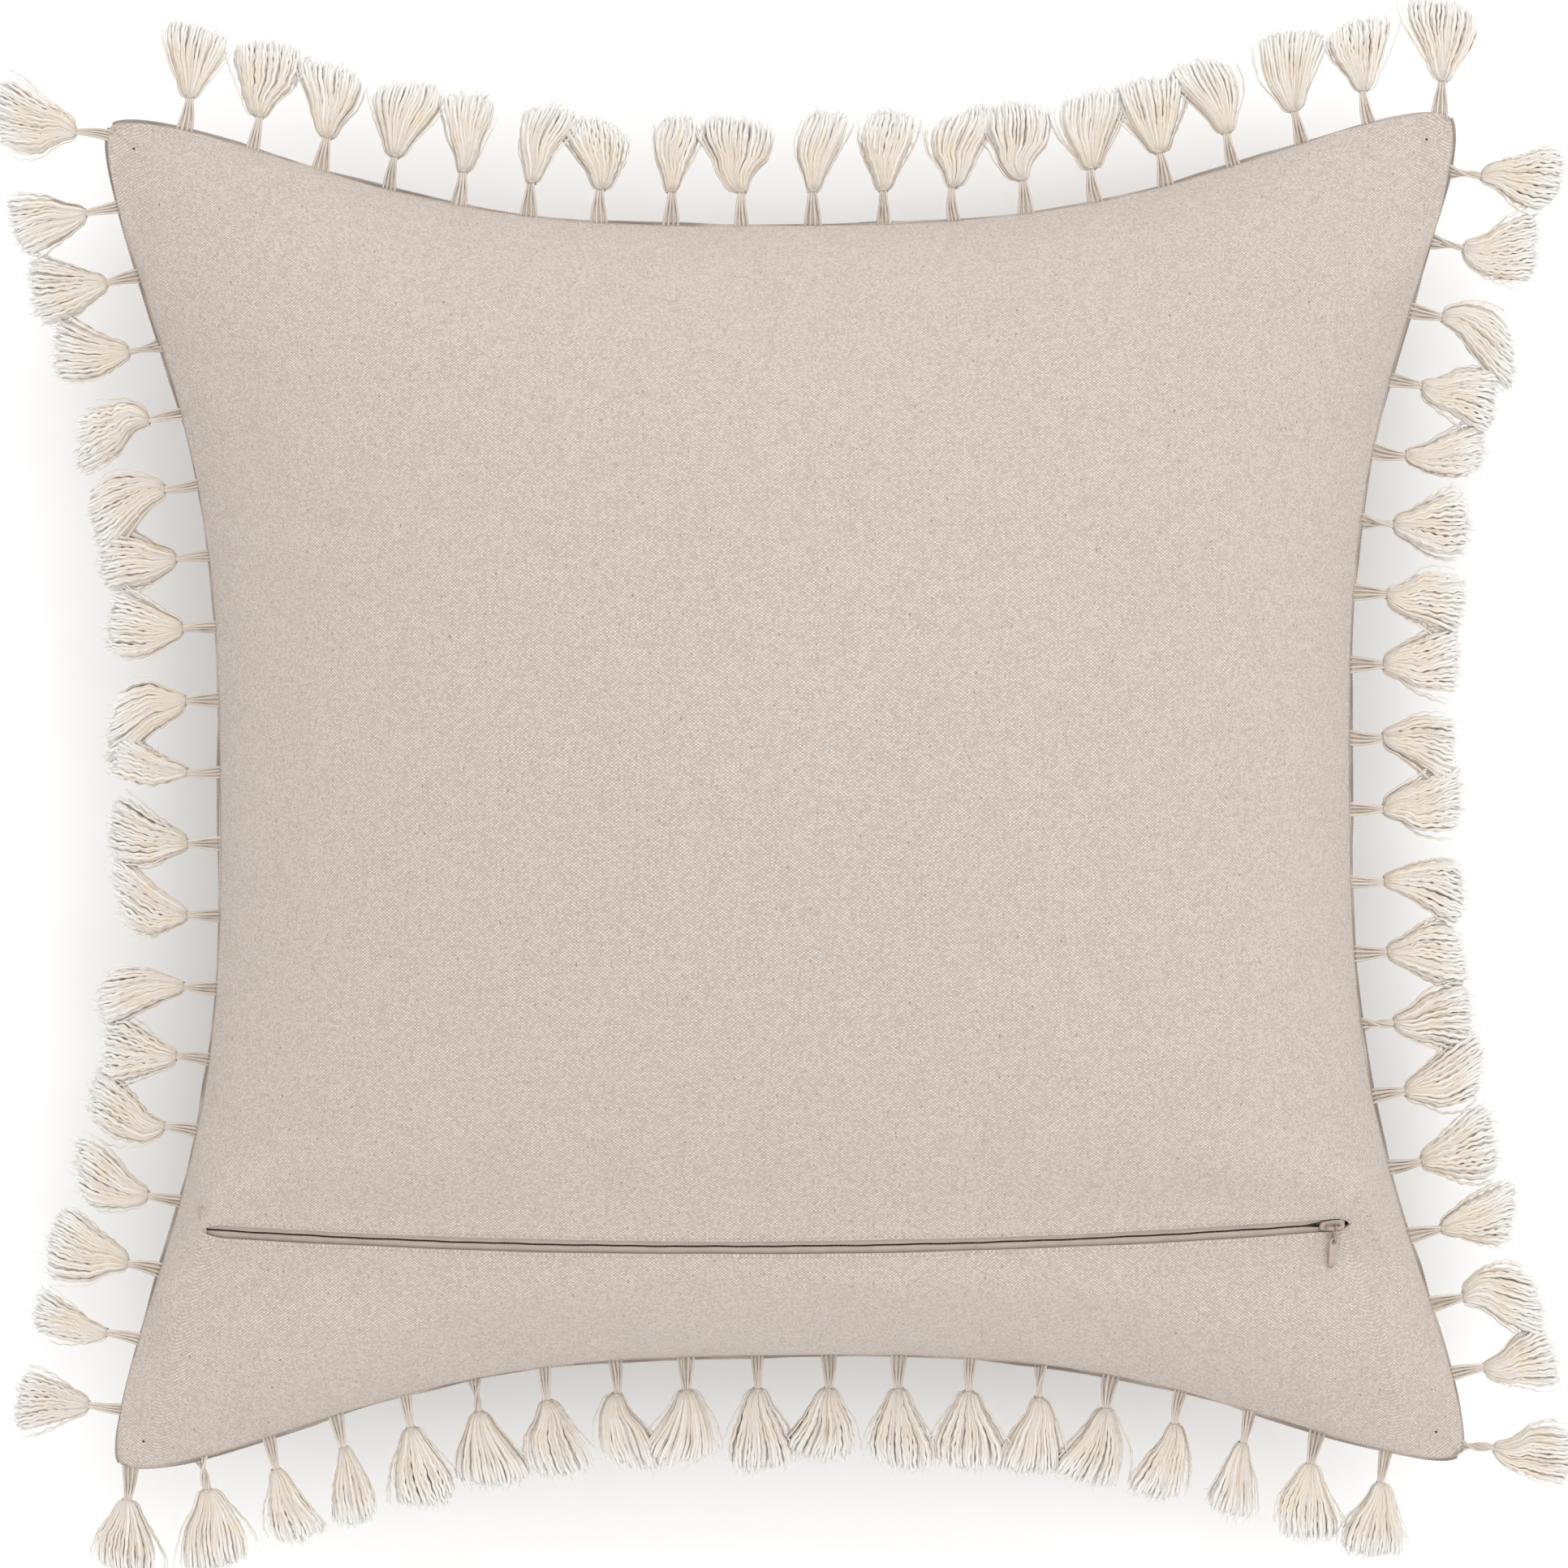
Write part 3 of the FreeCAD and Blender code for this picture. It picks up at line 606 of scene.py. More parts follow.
# Roughly how far a place is from the nearest side of the seam outline, in mm
def seamDistance(x, y):
    sideX = coverHalf * pullIn(np.clip(y / coverHalf, -1, 1)) - np.abs(x)
    sideY = coverHalf * pullIn(np.clip(x / coverHalf, -1, 1)) - np.abs(y)
    return np.minimum(sideX, sideY), sideX < sideY


# Small folds across the seam that fade into the face, as a height in mm
def gathers(x, y, seed):
    distance, onSides = seamDistance(x, y)
    run = np.where(onSides, y, x)
    wave = (
        np.sin(run / 3.9 + seed)
        + 0.8 * np.sin(run / 6.7 + 1.9 * seed + np.sin(run / 21.0))
        + 0.6 * np.sin(run / 12.7 + 0.7 * seed)
    ) / 2.4
    fade = np.exp(-np.maximum(distance, 0) / cover["puckerReach"]) * smoothStep(distance / 3.0)
    return cover["puckerHeight"] * wave * fade


# Broad unevenness of the stuffing, in mm
def dents(x, y, seed):
    r = np.random.default_rng(seed)
    total = np.zeros_like(x)
    for _ in range(16):
        cx, cy = r.uniform(-150, 150, 2)
        size = r.uniform(28, 60)
        total += r.uniform(-0.9, 0.8) * np.exp(-((x - cx) ** 2 + (y - cy) ** 2) / size**2)
    return total * smoothStep(seamDistance(x, y)[0] / 40)


# Point of the back face at shares of its width, with the zip's band blended in
def backPoint(shareX, shareY):
    x, y = planPoint(plan(shareX), plan(shareY))
    height = backCrown * np.cos(np.pi / 2 * shareX) * np.cos(np.pi / 2 * shareY)
    distance = np.abs(y - zipPlanY(x))
    blend = 1 - smoothStep((distance - 9.0) / 23.0)
    rimAway = coverHalf * pullIn(plan(shareY)) * (1 - np.abs(plan(shareX)))
    blend = blend * smoothStep((rimAway - 3.3) / 9.5)
    away = smoothStep((distance - 10) / 26)
    height = height + (gathers(x, y, 1.0) + dents(x, y, 4)) * away
    height = height + blend * (zipBandZ(x, y) - backRim - height)
    return np.stack([x, y, backRim + np.maximum(height, 0)], axis=-1)


def frontPoint(shareX, shareY):
    x, y = planPoint(plan(shareX), plan(shareY))
    height = frontCrown * np.cos(np.pi / 2 * shareX) * np.cos(np.pi / 2 * shareY)
    height = height + gathers(x, y, 5.0)
    z = frontRim - np.maximum(height, 0)
    return np.stack([x, y, 3.0 * np.logaddexp(0, z / 3.0) * (z < 12) + z * (z >= 12)], axis=-1)


# Inflates a coarse closed cover as cloth, pinned at the seam and zip: the move of each point
def simulateCover():
    size = 85
    share = np.linspace(-1, 1, size)
    gridX, gridY = np.meshgrid(share, share, indexing="ij")
    back, front = backPoint(gridX, gridY), frontPoint(gridX, gridY)
    index = np.arange(size * size).reshape(size, size)
    frontIndex = np.full((size, size), -1)
    inner = (slice(1, -1), slice(1, -1))
    frontIndex[inner] = size * size + np.arange((size - 2) ** 2).reshape(size - 2, size - 2)
    frontIndex = np.where(frontIndex < 0, index, frontIndex)
    points = np.concatenate([back.reshape(-1, 3), front[inner].reshape(-1, 3)])

    def cells(table, flip):
        quads = np.stack([table[:-1, :-1], table[1:, :-1], table[1:, 1:], table[:-1, 1:]], -1)
        return (quads[..., ::-1] if flip else quads).reshape(-1, 4)

    faces = np.concatenate([cells(index, False), cells(frontIndex, True)])
    made = makeObject("simCover", points * mm, faces, backCloth)
    group = made.vertex_groups.new(name="pin")
    nearZip = np.abs(points[:, 1] - zipPlanY(points[:, 0])) < 11
    onBack = np.arange(len(points)) < size * size
    onSeam = np.abs(points[:, 2] - backRim) < 0.01
    onFloor = points[:, 2] < 2.2
    pinned = np.nonzero((nearZip & onBack) | (onSeam & onBack) | onFloor)[0]
    group.add(pinned.tolist(), 1.0, "REPLACE")
    cloth = made.modifiers.new("cloth", "CLOTH")
    settings = cloth.settings
    settings.quality = 5
    settings.mass = 0.3
    settings.tension_stiffness = settings.compression_stiffness = 22
    settings.shear_stiffness = 12
    settings.bending_stiffness = 0.6
    settings.vertex_group_mass = "pin"
    settings.use_pressure = True
    settings.uniform_pressure_force = 4.0
    settings.shrink_min = -0.012
    settings.effector_weights.gravity = 0
    cloth.collision_settings.use_collision = False
    cloth.point_cache.frame_end = 20
    for number in range(1, 21):
        scene.frame_set(number)
    result = made.evaluated_get(bpy.context.evaluated_depsgraph_get()).to_mesh()
    moved = np.zeros(len(points) * 3, np.float32)
    result.vertices.foreach_get("co", moved)
    moved = moved.reshape(-1, 3) / mm - points
    bpy.data.objects.remove(made)
    scene.frame_set(1)
    length = np.linalg.norm(moved, axis=1, keepdims=True)
    cap = cover["simMove"]
    moved = moved * (cap * np.tanh(length / cap) / np.maximum(length, 1e-9))
    print(f"cloth moved up to {length.max():.1f} mm, kept to {np.abs(moved).max():.1f} mm")
    fields = []
    for table in (index, frontIndex):
        field = moved[table]
        field[inner] = (
            field[inner] * 2 + field[:-2, 1:-1] + field[2:, 1:-1]
            + field[1:-1, :-2] + field[1:-1, 2:]
        ) / 6
        fields.append(field)
    return fields


def sampleField(field, shareX, shareY):
    size = field.shape[0] - 1
    u = np.clip((shareX + 1) / 2 * size, 0, size - 1e-6)
    v = np.clip((shareY + 1) / 2 * size, 0, size - 1e-6)
    i, j = u.astype(int), v.astype(int)
    fu, fv = (u - i)[..., None], (v - j)[..., None]
    return (
        field[i, j] * (1 - fu) * (1 - fv) + field[i + 1, j] * fu * (1 - fv)
        + field[i, j + 1] * (1 - fu) * fv + field[i + 1, j + 1] * fu * fv
    )


backMove = frontMove = None
backMove, frontMove = simulateCover()
say("cloth simulation")


# Flat-cloth coordinates in mm of a grid: the run along its columns and its rows
def clothCoordinates(points):
    middleX = points.shape[0] // 2
    stepX = np.linalg.norm(np.diff(points, axis=0), axis=2)
    stepY = np.linalg.norm(np.diff(points, axis=1), axis=2)
    runX = np.concatenate([np.zeros((1, points.shape[1])), np.cumsum(stepX, axis=0)])
    runY = np.concatenate([np.zeros((points.shape[0], 1)), np.cumsum(stepY, axis=1)], axis=1)
    runX = runX - runX[middleX]
    return runX + points[middleX, :, 0], runY - runY[:, :1] + points[:, :1, 1]


def gridFaces(rows, columns, flip=False):
    index = np.arange(rows * columns).reshape(rows, columns)
    quads = np.stack([index[:-1, :-1], index[1:, :-1], index[1:, 1:], index[:-1, 1:]], -1)
    return (quads[..., ::-1] if flip else quads).reshape(-1, 4)


# A closed panel: the grid's face, the same face a cloth's thickness inside, and its edges
def thicken(points, faces, attributes, depth, name, material, inward):
    made = makeObject(name, points * mm, faces, material, attributes)
    solid = made.modifiers.new("cloth", "SOLIDIFY")
    solid.thickness = depth * mm
    solid.offset = -1.0 if inward else 1.0
    solid.use_even_offset = False
    solved = made.evaluated_get(bpy.context.evaluated_depsgraph_get())
    mesh = bpy.data.meshes.new_from_object(solved)
    made.modifiers.clear()
    made.data = mesh
    mesh.shade_smooth()
    return made


slotLine = {
    "half": 2.2,              # mm from the zip's middle to each folded edge
    "leftEnd": -190.7,
    "rightEnd": 183.0,
    "leftTaper": 9.0,
    "rightTaper": 5.0,
    "closedHalf": -0.2,       # past the ends the two folds press together
    "foldRadius": 0.45,
    "hem": 6.0,
}


# Half the opening between the folded edges: rounded at one end, pointed at the other
def slotHalf(x):
    left = np.clip((x - slotLine["leftEnd"]) / slotLine["leftTaper"], 0, 1)
    right = np.clip((slotLine["rightEnd"] - x) / slotLine["rightTaper"], 0, 1)
    shape = np.sqrt(1 - (1 - left) ** 2) * np.sin(np.pi / 2 * right) ** 0.8
    wander = 0.08 * np.sin(x / 17.0) + 0.05 * np.sin(x / 6.1 + 2)
    return slotLine["closedHalf"] + (slotLine["half"] + wander - slotLine["closedHalf"]) * shape


# One side of the zipped back: side 1 is above the zip's line, -1 below it
def backHalf(name, side, rows):
    columns = cover["columns"]
    shareX = np.linspace(-1, 1, columns)
    planX = plan(shareX)
    radius = slotLine["foldRadius"]
    planV = np.full(columns, -0.7)
    for _ in range(30):
        x = coverHalf * planX * pullIn(planV)
        offset = (slotHalf(x) + radius) * math.cos(crossSlope)
        planV = (zipPlanY(np.clip(x, -215, 215)) + side * offset) / (coverHalf * pullIn(planX))
    start = shareOf(planV)
    t = np.linspace(0, 1, rows)
    t = 0.25 * t**2 + 0.75 * t
    shareY = start[:, None] + (side - start[:, None]) * t
    gridX = np.repeat(shareX[:, None], rows, axis=1)
    skin = backPoint(gridX, shareY)
    if backMove is not None:
        skin = skin + sampleField(backMove, gridX, shareY)
    acrossRun, alongRun = clothCoordinates(skin)
    # the fold: over the edge, down and back under
    edge, inner = skin[:, 0], skin[:, 1]
    along = unit(np.gradient(edge, axis=0))
    away = unit(inner - edge)
    away = unit(away - along * np.sum(away * along, axis=1, keepdims=True))
    outward = np.cross(along, away) * side
    foldPoints, foldAlong = [], []
    centre = edge - outward * radius
    for degrees in (180, 150, 120, 90, 60, 30):
        turn = math.radians(degrees)
        foldPoints.append(centre + radius * (outward * math.cos(turn) - away * math.sin(turn)))
        foldAlong.append(-side * radius * turn)
    under = edge - outward * (2 * radius)
    hemFade = (1 - smoothStep((np.abs(edge[:, 0]) - 196) / 12))[:, None]
    hem = [under + away * reach * hemFade for reach in (slotLine["hem"], slotLine["hem"] / 2)]
    hemAlong = [foldAlong[0] - side * slotLine["hem"], foldAlong[0] - side * slotLine["hem"] / 2]
    lead = np.stack(hem + foldPoints, axis=1)
    points = np.concatenate([lead, skin], axis=1)
    leadRun = np.array(hemAlong + foldAlong)[None, :] + alongRun[:, :1] * 0
    alongAll = np.concatenate([alongRun[:, :1] + leadRun, alongRun], axis=1)
    acrossAll = np.concatenate([np.repeat(acrossRun[:, :1], lead.shape[1], 1), acrossRun], axis=1)
    # The skin is closed by its thickness below, and the hem turns under.
    faces = gridFaces(columns, points.shape[1], side < 0)
    attributes = {"clothAcross": acrossAll.ravel(), "clothAlong": alongAll.ravel()}
    return thicken(points.reshape(-1, 3), faces, attributes, 0.22, name, backCloth, True)


upperPanel = backHalf("cover_back_upper", 1, cover["rowsUpper"])
lowerPanel = backHalf("cover_back_lower", -1, cover["rowsLower"])


def frontFace():
    size = cover["frontRows"]
    share = np.linspace(-1, 1, size)
    gridX, gridY = np.meshgrid(share, share, indexing="ij")
    points = frontPoint(gridX, gridY)
    if frontMove is not None:
        points = points + sampleField(frontMove, gridX, gridY)
    points[..., 2] = np.maximum(points[..., 2], 0.0)
    acrossRun, alongRun = clothCoordinates(points)
    attributes = {"clothAcross": acrossRun.ravel(), "clothAlong": alongRun.ravel()}
    return thicken(points.reshape(-1, 3), gridFaces(size, size, True), attributes, 0.5,
                   "cover_front", frontCloth, True)


frontPanel = frontFace()
for piece, node, slotName in (
    (upperPanel, "back_panel_upper", "back_cloth"),
    (lowerPanel, "back_panel_lower", "back_cloth"),
    (frontPanel, "front_panel", "front_cloth"),
):
    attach(piece, "cushion")
    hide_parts(node)
say("cover")

# The seam: the front cloth's ribbed edge, and the fringe's header band

sideNames = ("top", "right", "bottom", "left")      # clockwise, seen from above


# Points turned clockwise about the vertical by quarter turns
def quarterTurns(points, turns):
    points = np.asarray(points, float)
    for _ in range(turns % 4):
        points = np.stack([points[..., 1], -points[..., 0], points[..., 2]], axis=-1)
    return points


# The top side of the seam outline with the distance run, its direction and its outward side
def sidePath(count=1601):
    x, y = planPoint(np.linspace(-1, 1, count), 1.0)
    path = np.stack([x, y, np.full(count, seamZ)], axis=1)
    run = np.concatenate([[0], np.cumsum(np.linalg.norm(np.diff(path, axis=0), axis=1))])
    tangent = unit(np.gradient(path, axis=0))
    outward = np.stack([-tangent[:, 1], tangent[:, 0], np.zeros(count)], axis=1)
    return path, run, tangent, outward


seamEdge = {
    "ribPitch": 0.95,         # mm
    "radius": 0.7,
    "showing": 0.58,          # mm outside the cover where the edge peeps out
    "hidden": -0.5,
    "drop": 0.35,
}


def alongSide(run, values):
    return np.stack([np.interp(run[0], run[1], values[:, k]) for k in range(3)], axis=1)


def edgePiece(turns):
    path, run, tangent, outward = sidePath()
    ringsPerRib = 4
    count = int((run[-1] - 1.2) / seamEdge["ribPitch"]) * ringsPerRib
    at = np.linspace(0.6, run[-1] - 0.6, count)
    r = np.random.default_rng(40 + turns)
    knots = np.linspace(0, run[-1], 22)
    showing = np.interp(at, knots, smoothStep((r.random(22) - 0.25) / 0.45))
    reach = seamEdge["hidden"] + (seamEdge["showing"] - seamEdge["hidden"]) * showing
    line = alongSide((at, run), path) + alongSide((at, run), outward) * reach[:, None]
    line[:, 2] -= seamEdge["drop"]
    phase = (np.arange(count) % ringsPerRib) / ringsPerRib
    radius = seamEdge["radius"] * (0.8 + 0.3 * np.sin(np.pi * phase)) * np.ones(count)
    radius[[0, -1]] *= 0.5
    tone = np.array([0.5])
    points, faces, attributes = tubes(
        line[None] * mm, radius[None] * mm, np.array([0.0, 0.0, 1.0]), 8, tone
    )
    # painted shade: each rib is lighter on its crest and darker in the groove before the next, in
    # step with its radius
    attributes["strandToneAndRibShade"] = np.repeat(0.35 + 0.5 * np.sin(np.pi * phase), 8)
    attributes["strandShare"] = np.zeros(len(points))
    made = makeObject(f"seam_edge_{sideNames[turns]}", quarterTurns(points, turns), faces,
                      edgeYarn, attributes)
    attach(made, "cushion")
    return made


headerBand = {"halfWide": 1.1, "halfThick": 0.55, "reach": -0.75, "wander": 0.5}


# The fringe's woven band: one flat ring in the seam that peeps out at places
def headerPiece():
    path, run, tangent, outward = sidePath()
    count = 520
    at = np.linspace(0, run[-1], count, endpoint=False)
    r = np.random.default_rng(71)
    rings = []
    angle = np.linspace(0, 2 * np.pi, 10, endpoint=False)
    for turns in range(4):
        knots = r.random(24)
        knots[[0, -1]] = 0.3
        peep = headerBand["wander"] * np.interp(at, np.linspace(0, run[-1], 24), knots)
        here, out = alongSide((at, run), path), unit(alongSide((at, run), outward))
        middle = here + out * (headerBand["reach"] + peep)[:, None]
        ring = (
            middle[:, None] + out[:, None] * (np.cos(angle) * headerBand["halfWide"])[:, None]
            + np.array([0, 0, 1.0]) * (np.sin(angle) * headerBand["halfThick"])[:, None]
        )
        rings.append(quarterTurns(ring, turns))
    rings = np.concatenate(rings)
    total, around = rings.shape[:2]
    index = np.arange(total * around).reshape(total, around)
    faces = np.stack([index, np.roll(index, -1, 1), np.roll(np.roll(index, -1, 0), -1, 1),
                      np.roll(index, -1, 0)], -1).reshape(-1, 4)
    made = makeObject("header_band", rings.reshape(-1, 3) * mm, faces, bandCotton)
    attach(made, "cushion")
    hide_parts("fringe_header")


for turns in range(4):
    edgePiece(turns)
headerPiece()
say("seam edge")

# Tassels

tassel = {
    "firstLong": 24.0,        # mm from the corner to the first one, top and bottom
    "firstShort": 18.0,
    "last": 3.0,
    "pitches": 18,
    "root": 2.2,
    "droop": 12.0,            # degrees
    "fan": 0.6,
    "pinch": 9.6,             # mm from the root
    "length": 35.0,
    "layers": ((0.95, 19), (0.62, 23), (0.22, 25), (-0.22, 25), (-0.62, 21), (-0.95, 16)),
    "strandRadius": 0.68,
    # half width and half thickness in mm at distances beyond the pinch
    "halfWidth": ((0, 1.1), (1.4, 2.3), (3.4, 3.5), (7, 5.5), (12, 8.1), (18, 10.3),
                  (23, 11.0), (28, 11.0)),
    "halfThick": ((0, 0.9), (1.4, 1.8), (3.4, 2.4), (8, 2.9), (16, 2.9), (24, 2.3), (28, 2.0)),
    "wave": 0.5,
    "crinkle": 4.0,           # mm, the length of one wave of a strand
    "neckYarns": 7,
    "neckRadius": 0.46,
    "neckSpread": 2.35,
    "hairs": 110,
    "wisps": 6,
}
groups = ((0, 4), (4, 8), (8, 11), (11, 15), (15, 19))


# Root, lateral, upward and outward directions of each tassel of a side
def tasselFrames(turns):
    path, run, tangent, outward = sidePath()
    first = tassel["firstShort"] if sideNames[turns] in ("left", "right") else tassel["firstLong"]
    frames = []
    for i in range(tassel["pitches"] + 1):
        at = first + (run[-1] - tassel["last"] - first) * i / tassel["pitches"]
        here = alongSide((np.array([at]), run), path)[0]
        t = unit(alongSide((np.array([at]), run), tangent)[0])
        slope = math.atan2(t[1], t[0])
        out = np.array([-math.sin(slope), math.cos(slope), 0])
        lean = slope * tassel["fan"]
        droop = math.radians(tassel["droop"])
        flat = np.array([-math.sin(lean), math.cos(lean), 0])
        pointOut = flat * math.cos(droop) + np.array([0, 0, -math.sin(droop)])
        lateral = np.array([math.cos(lean), math.sin(lean), 0])
        root = here + out * tassel["root"]
        frames.append([quarterTurns(v, turns) for v in
                       (root, lateral, np.cross(pointOut, lateral), pointOut, out)])
    return frames


def table(pairs, at):
    pairs = np.array(pairs)
    return np.interp(at, pairs[:, 0], pairs[:, 1])


# The strands of one tassel beyond its pinch, in mm
def skirtStrands(frame, r, habit):
    root, lateral, up, out, _ = frame
    a, b = [], []
    for depth, count in tassel["layers"]:
        spread = (np.arange(count) + 0.5) / count * 2 - 1
        a.append(spread + r.normal(0, 0.035, count))
        b.append(np.full(count, depth) + r.normal(0, 0.08, count))
    a, b = np.concatenate(a), np.concatenate(b)
    a = np.clip(a, -1.02, 1.02) * np.sqrt(1 - 0.3 * b**2)
    wisps = tassel["wisps"]
    a = np.concatenate([a, r.choice([-1, 1], wisps) * r.uniform(1.02, 1.34, wisps)])
    b = np.concatenate([b, r.uniform(-0.8, 0.2, wisps)])
    count = len(a)
    thin = np.where(np.arange(count) < count - wisps, 1.0, 0.4)[:, None]
    steps = 23
    full = tassel["length"] - tassel["pinch"] + habit["long"]
    ends = full - 2.0 * np.abs(a + habit["slant"]) ** 2 + r.normal(0, 0.75, count)
    share = np.linspace(0, 1, steps) ** 0.85
    s = ends[:, None] * share
    width = table(tassel["halfWidth"], s) * habit["wide"]
    thick = table(tassel["halfThick"], s)
    one = smoothStep(s / full)
    phase = r.uniform(0, 2 * np.pi, (count, 1))
    # neighbouring strands share a slow wave, with a little of their own
    slow = habit["wave"] * np.sin(s / 4.2 + 2.2 * a[:, None] + habit["phase"])
    own = r.uniform(0.2, 0.7, (count, 1)) * np.sin(s / r.uniform(1.6, 2.8, (count, 1)) + phase)
    pitch = tassel["crinkle"] * r.uniform(0.85, 1.25, (count, 1)) / (2 * np.pi)
    kink = np.sin(s / pitch + 2.5 * a[:, None] + habit["phase"] + r.normal(0, 0.35, (count, 1)))
    kink = habit["crinkle"] * r.uniform(0.4, 1.2, (count, 1)) * kink * smoothStep((s - 1.5) / 4)
    side = a[:, None] * width + tassel["wave"] * one * (slow + 0.6 * own) + kink
    side = side + habit["bulge"] * np.sin(np.pi * np.clip(s / 11.0, 0, 1))
    side = side + habit["lean"] * full * one * share * 1.0
    side = side + habit["skew"] * one * (1 - a[:, None] ** 2)
    lift = b[:, None] * thick + 0.35 * one * np.cos(s / 2.3 + phase)
    lift = lift + habit["curl"] * one * s / full
    shoulder = 0.9 * np.sin(np.pi * np.clip(s / 5.0, 0, 1)) * (np.abs(a[:, None]) ** 2)
    forward = tassel["pinch"] - 0.6 + s - shoulder
    lines = (
        root + side[..., None] * lateral + lift[..., None] * up + forward[..., None] * out
    )
    radius = thin * tassel["strandRadius"] * r.uniform(0.8, 1.12, (count, 1)) * np.interp(
        share, [0, 0.08, 0.3, 0.85, 0.97, 1], [0.42, 0.7, 0.95, 1.0, 0.8, 0.35]
    )
    tone = np.clip(r.normal(0.72, 0.22, count), 0, 1)
    return lines, radius, tone


# Fine loose fibres that leave the strands near their ends and flanks
def skirtHairs(lines, frame, r):
    _, lateral, up, out, _ = frame
    count = tassel["hairs"]
    pick = r.integers(0, len(lines), count)
    knot = r.choice([12, 16, 18, 20, 22, 22], count)
    start = lines[pick, knot]
    along = unit(lines[pick, knot] - lines[pick, knot - 1])
    aim = unit(along + r.normal(0, 0.34, (count, 3)))
    bend = r.normal(0, 0.5, (count, 3))
    length = r.uniform(1.2, 3.4, count)[:, None, None]
    t = np.linspace(0, 1, 4)[None, :, None]
    path = start[:, None] + aim[:, None] * length * t + bend[:, None] * t**2 * 0.8
    radius = r.uniform(0.06, 0.13, (count, 1)) * np.array([1, 0.9, 0.7, 0.25])
    return path, radius, np.ones(count)


# The yarns from the seam to the pinch: a flat ribbon that narrows, or a twisted cord
def neckStrands(frame, r, habit):
    root, lateral, up, out, seamOut = frame
    count = tassel["neckYarns"]
    a = (np.arange(count) + 0.5) / count * 2 - 1
    b = np.where(np.arange(count) % 2, 0.34, -0.3) + r.normal(0, 0.05, count)
    steps = 11
    share = np.linspace(0, 1, steps)
    spread = tassel["neckSpread"] * habit["neck"] * (1 - 0.68 * smoothStep(share * 1.05)) + 0.15
    side = a[:, None] * spread + habit["bow"] * np.sin(np.pi * share)
    lift = b[:, None] * (0.7 + 0.9 * share) + 0.12 * np.sin(share * 9 + 5 * a[:, None])
    turn = habit["twist"] * share
    cosine, sine = np.cos(turn), np.sin(turn)
    side, lift = side * cosine - lift * sine, side * sine * 0.8 + lift * cosine
    reach = -1.4 - tassel["root"] + (tassel["pinch"] + 2.2 + tassel["root"] + 1.4) * share
    straight = smoothStep((share - 0.02) / 0.4)[None, :, None]
    axis = seamOut * (1 - straight) + out * straight
    start = root + seamOut * reach[0]
    step = np.diff(reach)[0]
    walked = np.cumsum(axis[:, 1:] * step, axis=1)
    middle = start + np.concatenate([np.zeros((1, 1, 3)), walked], axis=1)
    missed = root + out * (tassel["pinch"] + 2.2) - middle[:, -1:]
    middle = middle + missed * smoothStep(share)[None, :, None]
    lines = middle + side[..., None] * lateral + lift[..., None] * up
    radius = tassel["neckRadius"] * r.uniform(0.85, 1.1, (count, 1)) * np.interp(
        share, [0, 0.7, 0.85, 1], [1, 0.95, 0.85, 0.5]
    )
    tone = np.clip(r.normal(0.62, 0.25, count), 0, 1)
    return lines, radius, tone


# Two fine turns of thread at the pinch
def pinchWraps(frame, r):
    root, lateral, up, out, _ = frame
    turn = np.linspace(0, 2.2 * 2 * np.pi, 26)
    ring = (
        np.cos(turn)[:, None] * lateral * 1.62 + np.sin(turn)[:, None] * up * 1.42
        + (np.linspace(-0.35, 0.45, 26)[:, None] + tassel["pinch"] - 0.3) * out
    )
    return (root + ring)[None], np.full((1, 26), 0.24), np.array([0.55])


def makeTassels():
    for turns, sideName in enumerate(sideNames):
        frames = tasselFrames(turns)
        hang = {"top": 0.0, "bottom": 0.0, "right": -0.03, "left": 0.02}[sideName]
        onSides = sideName in ("left", "right")
        neckRange = {"top": (0.85, 1.25), "left": (0.7, 1.05)}.get(sideName, (0.8, 1.25))
        for number, (begin, stop) in enumerate(groups, start=1):
            body = f"tassels_{sideName}_{number}"
            skirts, necks = [], []
            for k in range(begin, stop):
                frame_ = frames[k]
                r = np.random.default_rng(1000 + 100 * turns + k)
                slim = r.random() < 0.16
                habit = {
                    "long": r.normal(0, 0.9), "slant": r.normal(0, 0.3),
                    "wide": r.uniform(0.62, 0.76) if slim else r.uniform(0.86, 1.04),
                    "bulge": r.normal(0, 0.7),
                    "wave": r.uniform(0.6, 1.8), "phase": r.uniform(0, 6.3),
                    "lean": hang + r.normal(0, 0.17 if onSides else 0.09), "skew": r.normal(0, 0.9),
                    "curl": r.normal(-0.4, 1.0), "neck": r.uniform(*neckRange),
                    "crinkle": r.uniform(0.2, 0.38) if onSides else r.uniform(0.06, 0.22),
                    "bow": r.normal(0, 0.35),
                    "twist": r.uniform(2.5, 5.5) if r.random() < 0.14 else r.normal(0, 0.25),
                }
                lines, radius, tone = skirtStrands(frame_, r, habit)
                skirts.append(tubes(lines * mm, radius * mm, frame_[2], 5, tone))
                hairLines, hairRadius, hairTone = skirtHairs(lines, frame_, r)
                skirts.append(tubes(hairLines * mm, hairRadius * mm, frame_[2], 3, hairTone))
                wraps, wrapRadius, wrapTone = pinchWraps(frame_, r)
                skirts.append(tubes(wraps * mm, wrapRadius * mm, frame_[3], 5, wrapTone))
                lines, radius, tone = neckStrands(frame_, r, habit)
                necks.append(tubes(lines * mm, radius * mm, frame_[2], 6, tone))
            points, faces, attributes = joinParts(skirts)
            skirt = makeObject(f"skirt_{sideName}_{number}", points, faces, fringeYarn, attributes)
            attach(skirt, body)
            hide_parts(body, f"tassel_ties_{sideName}_{number}")
            points, faces, attributes = joinParts(necks)
            neck = makeObject(f"neck_{sideName}_{number}", points, faces, neckYarn, attributes)
            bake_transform(neck)


makeTassels()
say("tassels")

